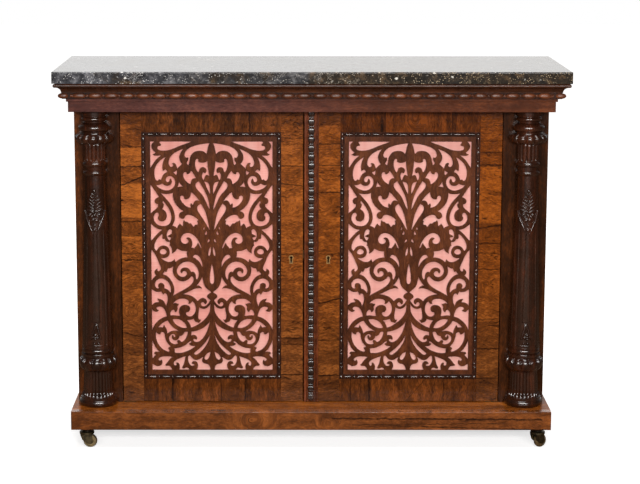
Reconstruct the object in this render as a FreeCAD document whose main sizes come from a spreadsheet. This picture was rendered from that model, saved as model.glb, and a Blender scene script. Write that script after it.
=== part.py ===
import FreeCAD, Part
import math, os, re

V = FreeCAD.Vector
Rot = FreeCAD.Rotation
doc = FreeCAD.newDocument("chiffonier")

# ---------------------------------------------------------------- sizes (mm)
# Frame: +Z up, +X to the right seen from the front, the front faces -Y.
# The origin is on the floor under the middle of the marble top.
SIZES = [
    ("overall_width", 1220.0), ("overall_depth", 420.0), ("overall_height", 928.0),
    ("marble_thick", 28.0), ("marble_corner", 3.0), ("marble_edge", 2.5),
    ("plinth_width", 1165.0), ("plinth_front_y", 179.0), ("plinth_low", 53.5), ("plinth_top", 99.5),
    ("board", 20.0), ("rail_thick", 22.0), ("back_y", 205.0),
    ("frieze_half", 576.0), ("frieze_front_y", 176.0), ("frieze_low", 829.5), ("frieze_fillet_low", 854.5),
    ("frieze_top", 862.0), ("fillet_proud", 4.0), ("cornice_top", 900.0),
    ("side_outer", 572.0), ("stile_front_y", 89.0), ("stile_back_y", 67.0), ("opening_half", 463.0),
    ("column_x", 522.0), ("column_y", 101.0), ("column_foot_radius", 47.3),
    ("door_low", 101.5), ("door_top", 827.5), ("door_outer", 461.0),
    ("left_meeting", 20.0), ("right_meeting", 17.0),
    ("panel_width", 338.0), ("panel_height", 612.0), ("left_panel_x", 242.0), ("right_panel_x", 239.0),
    ("panel_z", 464.4), ("bead_width", 10.0), ("bead_proud", 3.0),
    ("fret_front_y", 84.0), ("fret_thick", 5.0), ("silk_thick", 1.5), ("backing_thick", 8.5),
    ("pivot_x", 451.0), ("pivot_y", 85.0), ("pivot_pin_radius", 2.5), ("pivot_bore_radius", 2.56),
    ("pivot_plate_thick", 1.5), ("door_plate_thick", 2.5),
    ("astragal_width", 35.0), ("astragal_proud", 8.0),
    ("keyhole_left_x", 48.5), ("keyhole_right_x", 42.0), ("keyhole_z", 458.0),
    ("bolt_height", 16.0), ("bolt_thick", 5.0), ("bolt_length", 44.0),
    ("flush_bolt_width", 12.0), ("flush_bolt_length", 56.0), ("flush_bolt_x", 46.0), ("flush_bolt_throw", 10.0),
    ("shelf_top", 475.0), ("shelf_thick", 20.0), ("back_thick", 12.0),
    ("wheel_radius", 17.0), ("wheel_width", 13.0), ("castor_trail", 8.0),
    ("castor_left_x", 548.0), ("castor_right_x", 555.0), ("castor_front_y", 141.0), ("castor_rear_y", 172.0),
    ("castor_plate_radius", 20.0), ("stem_radius", 4.0), ("stem_bore_radius", 4.06),
    ("axle_radius", 2.5), ("hub_bore_radius", 2.56),
]
sheet = doc.addObject("Spreadsheet::Sheet", "Sizes")
for i, (alias, value) in enumerate(SIZES, start=1):
    sheet.set("A%d" % i, alias)
    sheet.set("B%d" % i, "%g" % value)
    sheet.setAlias("B%d" % i, alias)
doc.recompute()
NAMES = set(a for a, _ in SIZES)


def S(alias):
    return float(sheet.get(alias))


def E(text):
    """An expression in the sheet's aliases."""
    return re.sub(r"[A-Za-z_][A-Za-z_0-9]*", lambda m: "Sizes." + m.group(0) if m.group(0) in NAMES else m.group(0), text)


NODES = {}


def node(obj, label):
    obj.Label = label
    NODES[label] = obj
    return obj


def bind(obj, **props):
    for key, text in props.items():
        obj.setExpression(key.replace("__", "."), E(text))
    return obj


def box(name, x0, x1, y0, y1, z0, z1):
    """A board between two corners; every limit is an expression in the sheet."""
    o = doc.addObject("Part::Box", name)
    bind(o, Length="(%s)-(%s)" % (x1, x0), Width="(%s)-(%s)" % (y1, y0), Height="(%s)-(%s)" % (z1, z0),
         Placement__Base__x=x0, Placement__Base__y=y0, Placement__Base__z=z0)
    return o


def cyl(name, x, y, z, r, length, direction=None):
    o = doc.addObject("Part::Cylinder", name)
    if direction is not None:
        o.Placement = FreeCAD.Placement(V(0, 0, 0), Rot(V(0, 0, 1), direction))
    bind(o, Radius=r, Height=length, Placement__Base__x=x, Placement__Base__y=y, Placement__Base__z=z)
    return o


def cut(name, base, *tools):
    if len(tools) == 1:
        tool = tools[0]
    else:
        tool = doc.addObject("Part::MultiFuse", name + "_tools")
        tool.Shapes = list(tools)
    o = doc.addObject("Part::Cut", name)
    o.Base = base
    o.Tool = tool
    return o


def fuse(name, *parts):
    o = doc.addObject("Part::MultiFuse", name)
    o.Shapes = list(parts)
    o.Refine = True
    return o


def group(name, *parts):
    """Several equal, separate solids kept together in one node."""
    o = doc.addObject("Part::Compound", name)
    o.Links = list(parts)
    return o


def feature(name, shape, placement=None):
    o = doc.addObject("Part::Feature", name)
    o.Shape = shape
    if placement is not None:
        o.Placement = placement
    return o


def origin_plane(body, role):
    return [f for f in body.Origin.OriginFeatures if f.Role == role][0]


def sketch_on(body, name, role):
    sk = body.newObject("Sketcher::SketchObject", name)
    sk.AttachmentSupport = [(origin_plane(body, role), "")]
    sk.MapMode = "FlatFace"
    return sk


def line(a, b):
    return Part.LineSegment(V(*a), V(*b))


# ---------------------------------------------------------------- marble top
marble = doc.addObject("PartDesign::Body", "marble_body")
sk = sketch_on(marble, "marble_outline", "XY_Plane")
W, D = S("overall_width") / 2, S("overall_depth") / 2
sk.addGeometry([line((-W, -D, 0), (W, -D, 0)), line((W, -D, 0), (W, D, 0)),
                line((W, D, 0), (-W, D, 0)), line((-W, D, 0), (-W, -D, 0))], False)
import Sketcher
sk.addConstraint([Sketcher.Constraint("Coincident", i, 2, (i + 1) % 4, 1) for i in range(4)])
sk.addConstraint([Sketcher.Constraint("Horizontal", 0), Sketcher.Constraint("Horizontal", 2),
                  Sketcher.Constraint("Vertical", 1), Sketcher.Constraint("Vertical", 3)])
sk.addConstraint(Sketcher.Constraint("Symmetric", 0, 1, 2, 1, -1, 1))
k = sk.addConstraint(Sketcher.Constraint("DistanceX", 0, 1, 0, 2, 2 * W))
sk.setExpression("Constraints[%d]" % k, E("overall_width"))
k = sk.addConstraint(Sketcher.Constraint("DistanceY", 1, 1, 1, 2, 2 * D))
sk.setExpression("Constraints[%d]" % k, E("overall_depth"))
pad = marble.newObject("PartDesign::Pad", "marble_slab")
pad.Profile = sk
bind(pad, Length="marble_thick")
doc.recompute()
edges = ["Edge%d" % (i + 1) for i, e in enumerate(pad.Shape.Edges)
         if abs(e.Vertexes[0].Z - e.Vertexes[-1].Z) > 1]
fil = marble.newObject("PartDesign::Fillet", "marble_corners")
fil.Base = (pad, edges)
bind(fil, Radius="marble_corner")
doc.recompute()
edges = ["Edge%d" % (i + 1) for i, e in enumerate(fil.Shape.Edges)
         if min(v.Z for v in e.Vertexes) > S("marble_thick") - 0.01]
fil2 = marble.newObject("PartDesign::Fillet", "marble_arris")
fil2.Base = (fil, edges)
bind(fil2, Radius="marble_edge")
marble.Tip = fil2
bind(marble, Placement__Base__z="overall_height-marble_thick")
node(marble, "marble_top")

# ---------------------------------------------------------------- cornice, mitred at the front corners
FH, FY = S("frieze_half"), S("frieze_front_y")
ZB, ZT = S("frieze_top"), S("cornice_top")
BY = S("back_y")


def profile_face(points, place):
    """points: (out, height) or a 3-point arc ('arc', mid, end); place maps them to 3-D."""
    edges, cur = [], points[0]
    for p in list(points[1:]) + [points[0]]:
        if p[0] == "arc":
            edges.append(Part.Arc(place(*cur), place(*p[1]), place(*p[2])).toShape())
            cur = p[2]
        else:
            if math.hypot(p[0] - cur[0], p[1] - cur[1]) > 1e-6:
                edges.append(Part.LineSegment(place(*cur), place(*p)).toShape())
            cur = p
    return Part.Face(Part.Wire(edges))


def plan_prism(points, z0, z1):
    f = Part.Face(Part.makePolygon([V(x, y, z0) for x, y in points] + [V(points[0][0], points[0][1], z0)]))
    return f.extrude(V(0, 0, z1 - z0))


def front_run(points):
    f = profile_face(points, lambda d, z: V(-700, -(FY + d), z))
    s = f.extrude(V(1400, 0, 0))
    a = 60
    return s.common(plan_prism([(-FH - a, -FY - a), (FH + a, -FY - a), (FH - 30, -FY + 30), (-FH + 30, -FY + 30)], 800, 950))


def side_run(points, sign):
    f = profile_face(points, lambda d, z: V(sign * (FH + d), -400, z))
    s = f.extrude(V(0, 400 + BY, 0))
    a = 60
    return s.common(plan_prism([(sign * (FH + a), -FY - a), (sign * (FH + a), BY + 5), (sign * (FH - 30), BY + 5),
                                (sign * (FH - 30), -FY + 30)], 800, 950))


T = ZT - 1.0
cornice = [(-20, ZB), (10, ZB), (10, ZB + 15), (14, ZB + 15),
           ("arc", (27 - 13 * math.cos(math.pi / 4), ZB + 15 + 13 * math.sin(math.pi / 4)), (27, ZB + 28)),
           ("arc", (31.5, T - 4.5), (27, T)), (27, ZT), (-20, ZT)]
node(feature("cornice_front_mould", front_run(cornice)), "cornice_front")
node(feature("cornice_return_moulds", Part.makeCompound([side_run(cornice, -1), side_run(cornice, 1)])), "cornice_returns")
strip = [(10, ZB), (11.5, ZB), ("arc", (19, ZB + 7.5), (11.5, ZB + 15)), (10, ZB + 15)]
node(feature("cornice_beads", Part.makeCompound([front_run(strip), side_run(strip, -1), side_run(strip, 1)])),
     "cornice_bead_strips")

# ---------------------------------------------------------------- frieze and sub-top
ff = fuse("frieze_front_fuse",
          box("frieze_front_board", "-frieze_half", "frieze_half", "-frieze_front_y", "-frieze_front_y+board", "frieze_low", "frieze_top"),
          box("frieze_front_fillet", "-frieze_half-fillet_proud", "frieze_half+fillet_proud", "-frieze_front_y-fillet_proud",
              "-frieze_front_y", "frieze_fillet_low", "frieze_top"))
node(ff, "frieze_front")
ends = []
for tag, a, b, c in (("left", "-frieze_half", "-frieze_half+board", "-frieze_half-fillet_proud"),
                     ("right", "frieze_half-board", "frieze_half", "frieze_half")):
    brd = box("frieze_%s_board" % tag, a, b, "-frieze_front_y+board", "back_y", "frieze_low", "frieze_top")
    fl = box("frieze_%s_fillet" % tag, c, c + "+fillet_proud", "-frieze_front_y", "back_y", "frieze_fillet_low", "frieze_top")
    ends.append(fuse("frieze_%s_fuse" % tag, brd, fl))
node(group("frieze_end_pair", *ends), "frieze_ends")
node(box("back_rail_board", "-frieze_half+board", "frieze_half-board", "back_y-board", "back_y", "frieze_low+board", "cornice_top"),
     "top_back_rail")
top = cut("carcase_top_cut",
          box("carcase_top_board", "-frieze_half+board", "frieze_half-board", "-frieze_front_y+board", "back_y", "frieze_low", "frieze_low+board"),
          box("upper_strike", "-flush_bolt_x-7", "-flush_bolt_x+7", "-stile_back_y-7", "-stile_back_y+1", "frieze_low-1", "frieze_low+12"))
node(top, "carcase_top")

# ---------------------------------------------------------------- carcase
node(box("side_left_board", "-side_outer", "-side_outer+board", "-stile_back_y", "back_y", "plinth_top", "frieze_low"), "side_left")
node(box("side_right_board", "side_outer-board", "side_outer", "-stile_back_y", "back_y", "plinth_top", "frieze_low"), "side_right")
node(box("pilaster_left_board", "-side_outer", "-opening_half", "-stile_front_y", "-stile_back_y", "plinth_top", "frieze_low"),
     "pilaster_left")
node(box("pilaster_right_board", "opening_half", "side_outer", "-stile_front_y", "-stile_back_y", "plinth_top", "frieze_low"),
     "pilaster_right")
PH = "plinth_width/2"
pf = box("plinth_front_rail", "-" + PH, PH, "-plinth_front_y", "-plinth_front_y+rail_thick", "plinth_low", "plinth_top")
doc.recompute()
pfe = [i + 1 for i, e in enumerate(pf.Shape.Edges)
       if all(v.Y < -S("plinth_front_y") + 0.1 for v in e.Vertexes)]
pff = doc.addObject("Part::Fillet", "plinth_front_rounded")
pff.Base = pf
pff.Edges = [(i, 2.5, 2.5) for i in pfe]
node(pff, "plinth_front")
node(group("plinth_side_pair",
           box("plinth_side_l", "-" + PH, "-" + PH + "+rail_thick", "-plinth_front_y+rail_thick", "back_y", "plinth_low", "plinth_top"),
           box("plinth_side_r", PH + "-rail_thick", PH, "-plinth_front_y+rail_thick", "back_y", "plinth_low", "plinth_top")),
     "plinth_sides")
node(box("plinth_back_rail", "-" + PH + "+rail_thick", PH + "-rail_thick", "back_y-board", "back_y", "plinth_low", "plinth_top"),
     "plinth_back")
bb = cut("bottom_board_cut",
         box("bottom_board_plank", "-" + PH + "+rail_thick", PH + "-rail_thick", "-plinth_front_y+rail_thick", "back_y-board",
             "plinth_top-board", "plinth_top"),
         box("lower_strike", "-flush_bolt_x-7", "-flush_bolt_x+7", "-stile_back_y-7", "-stile_back_y+1", "plinth_top-12", "plinth_top+1"))
node(bb, "bottom_board")
blocks = []
for tag, x0, x1, y0, y1 in (
        ("fl", "-" + PH + "+rail_thick", "-" + PH + "+rail_thick+60", "-plinth_front_y+rail_thick", "-plinth_front_y+rail_thick+60"),
        ("fr", PH + "-rail_thick-60", PH + "-rail_thick", "-plinth_front_y+rail_thick", "-plinth_front_y+rail_thick+60"),
        ("bl", "-" + PH + "+rail_thick", "-" + PH + "+rail_thick+60", "back_y-board-60", "back_y-board"),
        ("br", PH + "-rail_thick-60", PH + "-rail_thick", "back_y-board-60", "back_y-board")):
    blocks.append(box("block_" + tag, x0, x1, y0, y1, "plinth_low", "plinth_top-board"))
node(group("corner_blocks", *blocks), "castor_blocks")
node(box("shelf_plank", "-side_outer+board", "side_outer-board", "-stile_back_y+12", "back_y-back_thick", "shelf_top-shelf_thick", "shelf_top"),
     "shelf")
node(group("bearer_pair",
           box("bearer_l", "-side_outer+board", "-side_outer+board+20", "-stile_back_y+12", "back_y-back_thick",
               "shelf_top-shelf_thick-18", "shelf_top-shelf_thick"),
           box("bearer_r", "side_outer-board-20", "side_outer-board", "-stile_back_y+12", "back_y-back_thick",
               "shelf_top-shelf_thick-18", "shelf_top-shelf_thick")), "shelf_bearers")
node(group("back_board_pair",
           box("back_l", "-side_outer+board", "-40", "back_y-back_thick", "back_y", "plinth_top", "frieze_low"),
           box("back_r", "40", "side_outer-board", "back_y-back_thick", "back_y", "plinth_top", "frieze_low")), "back_boards")
node(box("back_middle", "-40", "40", "back_y-back_thick", "back_y", "plinth_top", "frieze_low"), "back_muntin")

# ---------------------------------------------------------------- turned columns
# half profile: (radius, height above the column's foot); three-point arcs make the hollows and rounds
COL = [(0, 0), (43.0, 0), ("arc", (47.3, 8.7), (43.0, 17.5)), (43.0, 21.5), ("arc", (37.8, 28), (36.6, 40.5)), (34.0, 86.5),
       ("arc", (46.6, 103.5), (39.0, 122.5)), (40.0, 124), (40.0, 129.5), (36.0, 129.5), (36.0, 131.5),
       ("arc", (38.5, 137.5), (36.5, 143.5)), (38.5, 143.5), (38.5, 147.5), (38.0, 147.5), (26.0, 568.5), (26.0, 569.5),
       ("arc", (28.5, 576), (26.0, 582.5)), (26.0, 590.5), ("arc", (28.7, 597.5), (26.0, 604.5)), (25.0, 604.5), (25.0, 647.5),
       (34.0, 648.5), ("arc", (46.6, 659.5), (34.0, 671.5)), (30.0, 671.5), (30.0, 676.5), (34.0, 676.5),
       ("arc", (38.7, 684.5), (37.5, 690.0)), ("arc", (32.0, 694.4), (24.0, 697.3)), (24.0, 701.5), (26.5, 701.5),
       ("arc", (32.0, 706.5), (26.5, 711.5)), (26.5, 716.5), (33.0, 716.5), (33.0, 730.0), (0, 730.0)]
scale_r = S("column_foot_radius") / 47.3
scale_z = (S("frieze_low") - S("plinth_top")) / 730.0


def column(tag, x):
    body = doc.addObject("PartDesign::Body", "column_body_" + tag)
    sk = sketch_on(body, "column_profile_" + tag, "XZ_Plane")
    geo, cur = [], COL[0]
    P = lambda p: V(p[0] * scale_r, p[1] * scale_z, 0)
    for p in COL[1:] + [COL[0]]:
        if p[0] == "arc":
            geo.append(Part.Arc(P(cur), P(p[1]), P(p[2])))
            cur = p[2]
        else:
            geo.append(Part.LineSegment(P(cur), P(p)))
            cur = p
    sk.addGeometry(geo, False)
    rev = body.newObject("PartDesign::Revolution", "column_turning_" + tag)
    rev.Profile = sk
    rev.ReferenceAxis = (sk, ["V_Axis"])
    rev.Angle = 360
    body.Tip = rev
    bind(body, Placement__Base__x=x, Placement__Base__y="-column_y", Placement__Base__z="plinth_top")
    flat = box("column_back_" + tag, x + "-70", x + "+70", "-stile_front_y", "-stile_front_y+120", "plinth_top-5", "frieze_low+5")
    return cut("column_" + tag + "_cut", body, flat)


node(column("left", "-column_x"), "column_left")
node(column("right", "column_x"), "column_right")

# ---------------------------------------------------------------- scroll fret
# One half of the pierced pattern, in its own units from the panel's centre: each string is one
# piercing, and * marks a sharp corner.
HOLES = [
    "48,283.5* 85,283.7 125,283.7* 126.5,280.5 124.5,278 123,275* 126,272.8 129.5,272.3 131.8,269.5 131.5,265.5 128.5,262.8 122,261.2 112,261.3 100,263.6 88,268.3 76,273.2 62,278.2",
    "139,283.7* 149.8,283.7* 149.8,219* 146,224 141,232 135,239.5 129,245 123,249.8* 128,249.3 134,249 139,249.6 143.5,252.5* 139,253.8 136.5,257.5* 140,260 144,264.5 146.5,270 146,276 143,280.5",
    "4,279.3* 7.3,272 9.3,264 11,256 12,252.3* 15.5,256.8 21,259.7 28,260.8 36,260 43,257 48,252 51.3,246 53.2,239 54.3,232 56,225.8* 59.8,228.5 60.4,231.5 58,235.5 56.4,240 57.3,244.8* 60.5,243.8 63.8,245.5 65.6,249.5 65,255 61.5,261 55.5,266.5 47,271 36,274.6 24,277.2 12,278.8",
    "68,265.8* 75,263.2 83,259.8 90.5,255.3 97,249.8 101.3,243.8 104,237 104.9,230.5 103.5,225.3 100,221.5 96.5,221.5 93.8,224.3 94.2,227.3 96.5,228.8* 93,231 89.3,229.8 86.6,226.5 85,222 83.5,216.5* 80.5,220.8 76,224.8 71.7,228.8* 75.3,233.5 77.8,239.5 78.5,246 77,252.5 73.3,259.5",
    "85,213.5* 87.5,210.8 93.3,208.3* 90.5,204.5 86.5,201* 84.8,206 84.6,210",
    "112,245.8* 119,241.8 126.5,235.8 133,228.5 137.8,219.5 139.8,210 139.8,200 137.8,192 135.5,188.3 133,187 130.5,188.7 128,190.8* 125.5,189.5 123.7,189.5* 121.8,195 118.5,201.5 113.5,206.3 107.5,208.8* 110,213 112.8,215.3 116,213.3 118.8,211.8* 120,218.5 119.7,226 118,233.5 115.5,240",
    "136.5,177.3* 131,171 124,166.8 115.5,163.8 107,163.5 99,166.3 92.8,172 89.3,179.5 89.2,187.5 92.3,194.3 98,198.4 104.5,198.8 109.8,195.8 112.3,190.5 111,186 107.3,183.8 104,185.8 102.8,189.3 100.7,192.5* 98.3,189.8 97.3,185.3 98.8,180.3 103,176.3 109,175 115.5,176.8 120.5,180.8* 125,178.2 130.5,176.8",
    "10,235.8* 14,233.3 20,231.8 26,232 30.5,233.8 32.3,236* 31.8,239.5 34.5,241.5 37.8,239.3 39.7,233.5 39.9,226 38.5,218.5 36,212.5 32.8,208* 30.5,211.5 29.3,215.3 26.3,219 21.5,220.8 16.5,219.5 13,215.5 12.4,210.5 14.5,207 17,206.3* 20,208 22.3,204.5 23.2,199.5 22.3,193.5 19.5,188.3* 17.6,192.5 15.8,197.5 13,201.2 9.5,201.3 7.3,199.5 5.5,200* 6.8,208 8.3,218 9.3,228",
    "17.8,186* 15,178.5 11.5,170 7.5,161 4,154.5* 3.6,163 4.2,172 6,179 9,183.3* 13,184.3",
    "31,187* 27,180 21.5,171 16,161 11.3,150.5 8.3,140.5 6,130 4.3,116* 7.2,120.5 11.8,130.5 16,140 21.3,150 27.5,157.5 33.5,163.8 37.8,170 39.6,176 38.3,180.8 35,183.3*",
    "50,212* 51.5,208.3 54.5,205 58,203.7 60.8,204.3* 61.3,207.7 64,208.8 67.2,207.2 69.2,203 68.8,197 65.8,190.5 61,184.8 56,180.8 52,178.5* 50.8,182.5 49.5,187.5 46.5,191.5 42.5,193.2 37.8,193.5* 41,200.3 45.3,207",
    "66.5,171.8* 72.5,175.5 77,180.5 79.8,186.3* 80.8,179 83.5,171.3* 78,172.5 72,172.8",
    "50.3,159.5* 44.5,155.3 38.5,149 33,142.5 29,136.3* 32,138 36.5,138.8 41,137 43.8,133 45.3,129.3 47,127.6* 49,130.3 50.7,131.6* 52.2,127.8 51.8,124 51,120.8* 57.5,122 64,125.3 70,130.8 74.8,137.5 77.3,144 76.3,149 73,151 69.5,149.8 67.8,147.3 67.5,144* 64,141.8 59.5,142.3 55,145.5 52,150.5 50.8,155",
    "27.3,131.5* 22.5,124.5 17.5,115 13.3,104.5 10.3,92.5 8,80.5 6,70 4.8,64* 8.5,70 13.5,79.5 18.5,88 23.5,96 28.5,103.3 32.8,110.3 35.3,117.5 35,123 32.3,127 28.8,129*",
    "94.5,158* 101,155.6 109,154.8 118,155.3 126,157.5* 120.5,152 114,145 107,137 100.5,128 95,117.5 91.5,106 90.6,95.5 92.8,85.5 97,76* 93,74.7 89,73 85.5,69.5* 83.5,74.5 80.8,79 78.5,81.5* 75.3,77.8 71.3,74.7* 70.8,81 70,86.5 68,90* 64.3,86.3 60,85 56.5,82 52.3,82.3* 49.3,79.5 46.5,75.5 44.3,73.3* 41.7,76.8 38.7,79* 36.8,78.2 35,79.3* 34.3,83.5 36,87.7* 32.5,90.3* 36.5,94.2 42,98.3 48.5,101.8 55.5,103.6 61.5,102.8 65.5,99.3 67.5,95.3 71.5,93.5 76.3,94.8 79.7,98.5 80.3,103.3 77.5,108.3 73,110.8 68.5,112.8* 75,116 82,122.3 88.5,130.5 92.8,140 94.9,149",
    "149.8,177.8* 149.8,106.8* 145.5,110.5 140,115.3 134.5,120.5 131.8,125 132.5,130* 136,130.8 139,134 139.7,138.5 137.5,142.8 133.5,145.3 129,147.7* 133.5,154.5 139,163 144.5,171",
    "119.8,138.3* 113.5,131 107.5,122.5 102.5,113 99.3,102.5 99.2,92.5 102.3,84 108,78 116,75.2 125,75.5 133,78.5 139.3,84.5 142.7,92.5 142,100.5 138.5,106.8 134.5,108.8 131,106.8 129.6,103 132.2,98* 132,93 128.5,88.8 122.5,87 116.5,88.8 112.3,93.3 110.6,100 111.8,107.5 115.5,113 122.3,117.8* 119.5,121.5 118,125.5 117.8,130* 120.8,132.5*",
    "149.8,81.5* 149.8,38.8* 145.5,43 140,49.5 133.5,56.5 127,62.2 121,66.5* 128,67.3 135,69.8 142.5,75",
    "97.8,62.8* 99.3,66.3 102.5,67.8 106,66 109.3,61 111,55 110.9,49.5 108.8,44.3 104.5,38.8* 102.5,41.5 99.8,46.5* 104,48 109.2,50.2* 104.5,53.2 99,55.8* 98.6,59",
    "122.5,56* 128.5,51 134.5,44 139.3,35.5 142,26.5 141,19 137,13.3* 134.3,17.3 130.5,22.3 125,25.7 118.5,26.6 112,24.8 107,20.3 104.5,14 104.5,7 107.3,1 112.5,-2.7 119,-4.2 127,-3.8* 122,-8 115.5,-11.8 108.5,-14 101.5,-13.8 96.3,-11 92.7,-6.7* 91.5,-10.5 90,-14.8* 84,-9.5 77,-5.8 69.5,-3.6 60,-3* 61.3,2 61.8,7.5 61.3,12.8* 67,13.3 74,14.2 80.5,16.8 86,19.6* 88.2,15.3 91,12 98.8,7.2* 98,13 99.3,19.5 101.5,24.5 105,27.8* 103.3,31.5 104.7,37* 109,36.4 113.3,38.8 115.8,43.8* 119.3,43.2* 121.8,47 121.6,51.5",
    "111.7,12 114.3,16.3 119.3,18.7 124.7,17.3 128.4,12.3 127.6,7.7 123.5,5.2 117.5,5 113,8",
    "25.5,19* 27.3,27 31,35.5 36,43.8 42.5,51 50,56 58,58.5 65.5,57.3 71.8,53 75.8,46.5 76.3,39.5 73,33.5 67.5,31 62,31.8 58.3,35 57.8,39.3 60,42.5 63,44.7* 59,46.8 54.5,45.8 50.5,41.7 48.5,36 48.3,29.5 51.5,20.8* 47.5,20.8 43,19.3* 41.5,22.8 38.3,26 36.3,30 34.3,33.4* 31.8,29.5 29.8,24.8",
    "3.4,24.5* 2.5,17 3.3,9 5.5,2 7.5,0.8 8.6,4 8,11 6,18.5",
    "7.5,43.3* 5.3,39.5 7,36.3 11,33.8* 10,38.5",
    "14.6,65* 12.2,60.5 12,56 14.8,53.6 16.6,55 15,59.5",
    "18.7,73* 17.5,69.5 18.2,66.8 20.5,66.5 20.3,70",
    "48,-2.3* 45.5,0.3 43.8,3.3* 39,4.2 34.5,2.3 30,-2.3 26.5,-9 24.3,-17 23.8,-28.3* 27,-20.8 31.5,-13.8 37.5,-8 43,-4.3",
    "37.8,-58.5* 34,-51.5 32.7,-43.5 33.8,-35 37.3,-27 43,-20 50.5,-15 58.5,-13 67,-13.8 75,-17.3 81.8,-23.3 86.2,-31 86.9,-39 83.8,-46 78,-50.7 71.5,-51.7 65.5,-49.3 62.3,-44.3 63.3,-39.3 67,-36.6 71,-37 73,-39.5 74.8,-42.6* 77.6,-38.3 77.2,-33.5 73.3,-29.7 67,-28.2 60.5,-29.5 55.5,-33.3 52.5,-38 51.3,-40.3* 48,-38.7 44.3,-40 41.5,-43.8 40.2,-49 40,-54",
    "51.8,-50* 56,-55 62,-59.5 69,-62 76,-61.8 83.5,-59 90,-53.5 95,-45.5 97,-36.5 96.5,-29.5 95,-24.5* 98.8,-26.8 103.5,-29.2 108.5,-29.5* 110.8,-34.5 113.3,-38.8* 116.7,-36.3* 119.5,-41.3 123,-45.2* 116,-47 109,-51.5 102.5,-59 97.3,-68 94.3,-78 94.2,-88 96.8,-99* 89,-94 80,-89 71,-84.3 62,-79 54.5,-73.3 48.8,-66.5 45.8,-59.5 46.3,-53.3 48.8,-50.3",
    "149.8,17.3* 149.8,-60.5* 146,-55.3 138,-47.3* 140.8,-43.7 142.2,-39 140.8,-35 137.5,-32 134,-31.5* 134.8,-35 133,-37.5 129.8,-36.5 127,-33 126.2,-28 129.3,-19.5 133,-11 136.3,-2.5 141.5,7 146,13",
    "102.7,-92* 101.9,-83.5 103.5,-74.5 107.5,-66 113.8,-59.3 121.5,-55.6 129.5,-55.5 136.8,-59.5 141,-66 141.5,-72.5 138.8,-78 134.5,-80.5 131,-78.8* 133.3,-74.3 132,-69.3 127.5,-66.8 122.3,-67.8 118.9,-71.8 118.3,-76.8 117.3,-81.2* 112,-82.7 107.5,-85.8 104.5,-89.5",
    "149.8,-81.5* 149.8,-123.5* 146,-119 140.5,-116 135.5,-115.3 131.3,-114.2* 133,-110.5 135.7,-106.3* 130,-107.3 124.5,-109.2 119.3,-114 116.3,-119.5 114.8,-126* 112.3,-118.5 110.3,-110 110.3,-101 112.8,-94.5 116.5,-92.2 119.3,-93.5 120.8,-96.3* 123.5,-92 126,-87.3* 131.5,-88.8 138.5,-88 144.8,-85",
    "24.3,-51.5* 27.5,-58 31.5,-64.5 36,-70 38.5,-73.8* 34,-73.3 29,-75.8 25,-80.8* 31,-79.2 38.5,-79.8 46,-82 54,-86 62.5,-90.3 75.5,-95.5* 66.5,-95.7 58,-97.2 50,-100.3 43,-105 36.2,-112.5* 33,-109.3 28.5,-106 23.5,-104.4 18.3,-105.8 14.5,-109.3 13.2,-114 15,-118.3 18.3,-119.7* 20.5,-116 23.5,-114.3 26.8,-116.3 27.8,-120 25.8,-124 21,-125.8 15.8,-124 10.5,-119 6.5,-113.5 4.3,-110.3* 7.5,-106.5 11.5,-103.2 12.6,-99.5 10.3,-95.8 3.2,-91* 2.5,-89* 8,-84.5 14.3,-78.8 19.3,-71 21.8,-62",
    "4.3,-118.5* 5,-128 6.3,-138 10.3,-147 16,-155 23.5,-162.5 32,-169 41.5,-174.8 53,-179.3* 54.8,-172.5 58.3,-166 63.3,-160.2* 57,-159.3 51,-158 45.5,-156* 44.5,-160 41.5,-163.8 37.5,-164.8 33.5,-166.2 29.8,-163 27.8,-158.3* 31,-159.5 33.8,-157 34.8,-151.5 34.5,-144 33,-135 32,-127.7* 26,-130.4 19,-131 12.3,-128.3 7.5,-123.7",
    "49.3,-112.3* 45,-116.5 41.8,-123 40.8,-130.5 41.8,-138 45.3,-145 50.5,-149.8 56.5,-151.2 62,-149 65.2,-144.3 64.3,-140.3 60.3,-139.3* 56.8,-136.8 55,-132 56,-127 59.5,-123.7 65,-122 71,-122.3 76.8,-124.7 80.8,-129 82.3,-135 81.8,-142 80,-149.6* 87,-149.3 95,-148.2 103.2,-149* 104.3,-144.5 103,-139.3 99.8,-135 96.3,-133.3 93.8,-135.3 92,-139.3* 88.7,-138 86.3,-133.8 85.8,-130 87,-127* 85,-123.3 82.3,-119.3* 86.5,-118.9 91,-117.3 98.3,-120.5* 93.5,-114 87,-109 80,-106.2 72.5,-105.5 65,-106.5 60.3,-109 58.2,-112.5 59.2,-118.3* 54.5,-118 51.5,-115.3",
    "116.5,-137* 119.5,-131.3 124,-127.3 129.5,-125.6 134.8,-126.3 138.2,-129.3 137,-133 133,-134.8* 137,-138.2 142,-138.2 146.8,-134.8 149.8,-131.3* 149.8,-185.5* 146,-176 140.5,-168 133.5,-161 125.5,-155.5 118.5,-152.5 112.8,-151.3* 113.7,-145",
    "62.8,-179.3* 65,-172.5 69.5,-166 76,-160.8 83.5,-157.5 91,-156.8 98.8,-158* 96,-164.5 91.3,-170.5 85,-175.3 77.5,-178.8 70,-180.3",
    "110.3,-161* 117.5,-163.5 124.5,-168 130.5,-173.5 135.3,-178.8* 130,-178.2 123.3,-179* 122,-175.5 120.2,-172.3* 117,-177.8 114.3,-183 112.7,-188.5 112.5,-194.5* 107.5,-190.8 101,-188 93.5,-187 86,-188 77,-191.3* 84.5,-186.5 92,-181.8 99.5,-175.8 105.5,-168.8",
    "118.5,-195* 121.3,-191.3 125,-189.7 128,-191.3 128.8,-194.7* 132,-195.5 136,-193.5 139.7,-189.3* 140.8,-197.5 140,-206.5 137.3,-215.5 132.5,-224.3 126,-231.8 118.5,-237 109,-240.3* 107,-237 110.3,-230.5* 107,-228.3 103.5,-226.2* 108.8,-221.3 113.5,-214.3 116.8,-206",
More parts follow.
